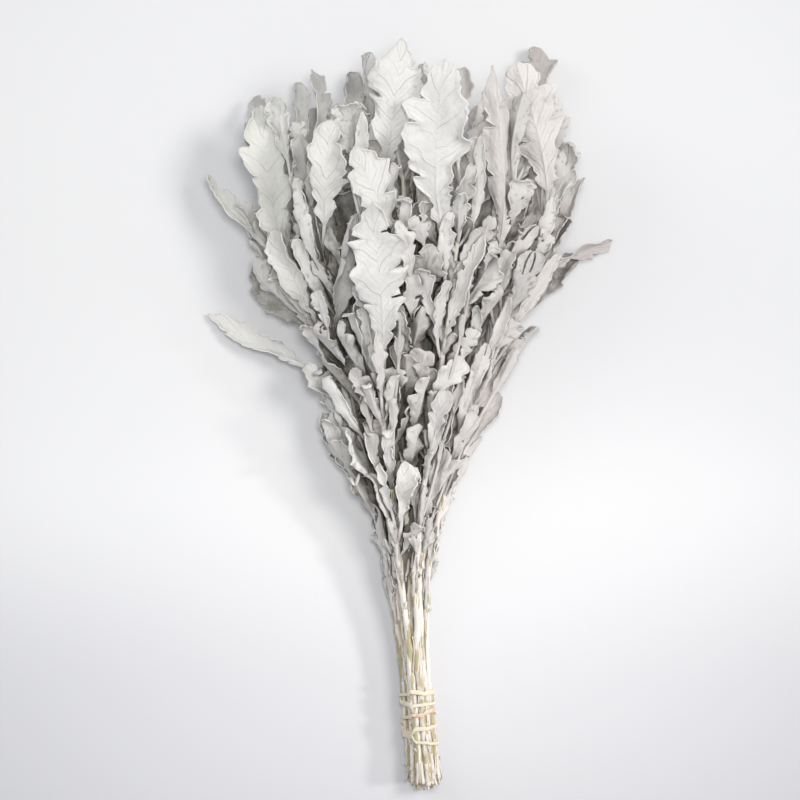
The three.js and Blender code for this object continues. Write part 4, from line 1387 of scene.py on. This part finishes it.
def cover_leaf(number, kind, index, attempt):
    """A flat leaf laid over the stems, in line with their fan."""
    count, reaches, depths, offs, straps, fanned = kind
    draw = seeded(number)
    reach = lerp(*reaches, index / count + draw(0, 1 / count))
    left, right = head_edges(reach)
    off = draw(*offs) * 0.97**attempt
    x, y = lerp(left, right, (1 + off) / 2), reach - MIDDLE
    spread = lambda reach: 1 + SIDE_SPREAD * fan(reach)
    slope = (x - lean(reach)) * (spread(reach + 5) - spread(reach - 5)) / (10 * spread(reach))
    heading = fanned * math.atan(slope) + draw(-0.32, 0.32)
    is_strap = draw() < straps
    length = (draw(34, 72) if is_strap else draw(20, 42)) * 0.95**attempt
    width = draw(7, 12) if is_strap else draw(10, 20)
    depth = draw(*depths) + 1.2 * attempt + 9 * (1 - smoothstep(reach, 130, 230))
    roll = draw(-32, 32)
    row = (x, y, x + length * math.sin(heading), y + length * math.cos(heading), width, depth,
           2 if is_strap else 3, draw(0.15, 0.45), roll, draw(-0.1, 0.4), draw(-0.6, 0.8), draw(0, 5))
    places = [place for place in carriers(x, y) if abs(place[1][0] - x) < FARTHEST_CARRIER]
    if not places:
        return None
    leaf = laid_leaf(draw, row, *places[attempt % min(3, len(places))], 0)
    leaf.facing = np.array([0.5 * off, 0, 1.0])
    leaf.fullness = 0.5 if is_strap else FULLNESS
    return leaf


def clears(sheet, taken):
    """Whether a leaf's sheet is inside the head and crosses none of the sheets taken."""
    points, tree, low, high = sheet
    if not is_in_head(points):
        return False
    near = [other for _, other, other_low, other_high in taken
            if np.all(low < other_high) and np.all(other_low < high)]
    return not any(tree.overlap(other) for other in near)


def small_leaves(leaves):
    """Small leaves that clear all others and each other. The kind on long stalks comes first, then the leaves
    laid over the head, then the other kinds."""
    taken = [coarse_sheet(leaf) for leaf in leaves]
    shown = shown_surface(leaves)
    added = []

    def place_first(number, choices):
        for leaf in choices:
            sheet = coarse_sheet(leaf) if leaf else None
            if leaf and clears(sheet, taken) and not hides(sheet[0], shown):
                leaf.number = number
                added.append(leaf)
                taken.append(sheet)
                return

    def place_kind(order):
        kind = SMALL_KINDS[order]
        for index in range(kind[0]):
            for stem in STEMS:
                number = SMALL_SEED + 2000 * order + 100 * stem.number + index
                place_first(number, (small_leaf(stem, kind, number, index, attempt)
                                     for attempt in range(SMALL_ATTEMPTS)))

    place_kind(0)
    for number, row in enumerate(EDGE_LEAVES, EDGE_SEED):
        place_first(number, laid_choices(number, row))
    for order, kind in enumerate(LAID_KINDS):
        for index in range(kind[0]):
            number = COVER_SEED + 1000 * order + index
            choices = (cover_leaf(number, kind, index, attempt) for attempt in range(LAID_ATTEMPTS))
            place_first(number, choices)
    for order in range(1, len(SMALL_KINDS)):
        place_kind(order)
    return added


# ---- the bunch

STEMS = make_stems()
for stem in STEMS:
    stem.node = f"leafy_stem_{stem.number:02d}"

materials = [foliage_material(), bark_material()]
leaves = cad_leaves()
leaves += small_leaves(leaves)
for leaf in leaves:
    set_style(leaf)
for stem in STEMS:
    mesh = Mesh()
    add_stem(mesh, stem)
    for leaf in leaves:
        if leaf.stem is stem:
            add_leaf(mesh, leaf)
    piece = mesh.build(f"dressed_{stem.node}", materials)
    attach(piece, "root")
    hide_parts(stem.node)

band = band_piece()
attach(band, "root")
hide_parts("tie_band")

# ---- floor, light and camera

VIEW_WIDTH = 474 * MM  # of the picture at the height of the head's middle
VIEW_HEIGHT = 45 * MM
VIEW_CENTRE = (-4.5 * MM, 11.5 * MM)
CAMERA_DISTANCE = 2.0
SENSOR = 36
SKY_COLOUR = (0.93, 0.96, 1.0, 1)
SKY_STRENGTH = 0.36


FLOOR_SIZE = 3.0
FLOOR_TINTS = (0.80, 0.80, 0.815), (0.82, 0.817, 0.818)
FLOOR_PAINTED_SHADE = (0.82, 0.82, 0.845)  # painted shade: how much darker the floor is towards the cut ends, beside the stems


def floor_material():
    paper = Shader("pale_paper")
    colour = paper.mix(paper.ramp(paper.noise(2.2, 2), 0.3, 0.7), *FLOOR_TINTS)
    along = paper.node("SeparateXYZ", {0: paper.place}).outputs[1]
    # Painted shade: the floor darkens towards -Y, beside and below the stems.
    colour = paper.tint(colour, paper.ramp(along, -0.03, -0.17), FLOOR_PAINTED_SHADE)
    return paper.with_surface({
        "Base Color": colour,
        "Normal": paper.bump(paper.noise(500), 0.05, 0.1),
        "Roughness": 0.85,
    })


def make_floor():
    mesh = bpy.data.meshes.new("floor")
    corners = [(-1, -1), (1, -1), (1, 1), (-1, 1)]
    mesh.from_pydata([(x * FLOOR_SIZE, y * FLOOR_SIZE, 0) for x, y in corners], [], [(0, 1, 2, 3)])
    mesh.materials.append(floor_material())
    floor = link_object("floor", mesh)


def make_lamp(name, kind, place, target, power, colour, **settings):
    light = bpy.data.lights.new(name, kind)
    light.energy = power
    light.color = colour
    for setting, value in settings.items():
        setattr(light, setting, value)
    lamp = link_object(name, light)
    lamp.location = place
    lamp.rotation_euler = (Vector(target) - Vector(place)).to_track_quat("-Z", "Y").to_euler()
    lamp.visible_camera = False


def make_world():
    world = bpy.data.worlds.new("soft_daylight")
    world.use_nodes = True
    background = world.node_tree.nodes["Background"]
    background.inputs["Color"].default_value = SKY_COLOUR
    background.inputs["Strength"].default_value = SKY_STRENGTH
    bpy.context.scene.world = world


def make_camera():
    camera = bpy.data.cameras.new("camera")
    camera.sensor_width = SENSOR
    camera.lens = SENSOR * CAMERA_DISTANCE / VIEW_WIDTH
    eye = link_object("camera", camera)
    eye.location = (*VIEW_CENTRE, VIEW_HEIGHT + CAMERA_DISTANCE)
    bpy.context.scene.camera = eye


make_floor()
make_lamp("window", "AREA", (1.5, 0.55, 2.3), (0, 0, 0), 31, (1.0, 0.985, 0.965), shape="DISK", size=0.9)
make_lamp("low_window", "SPOT", (1.5, -0.2, 0.95), (0.02, -0.14, 0), 73, (1.0, 0.99, 0.97),
          shadow_soft_size=0.12, spot_size=math.radians(11), spot_blend=1)
make_lamp("softbox", "SPOT", (0.05, 0.15, 1.6), (-0.02, 0.08, 0), 38, (1.0, 0.99, 0.98),
          shadow_soft_size=0.15, spot_size=math.radians(42), spot_blend=0.9)
make_lamp("fill", "AREA", (-1.7, 1.1, 1.3), (0, 0.05, 0.05), 9, (0.96, 0.98, 1.0), shape="DISK", size=1.4)
make_world()
make_camera()
bpy.context.scene.view_settings.view_transform = "Standard"
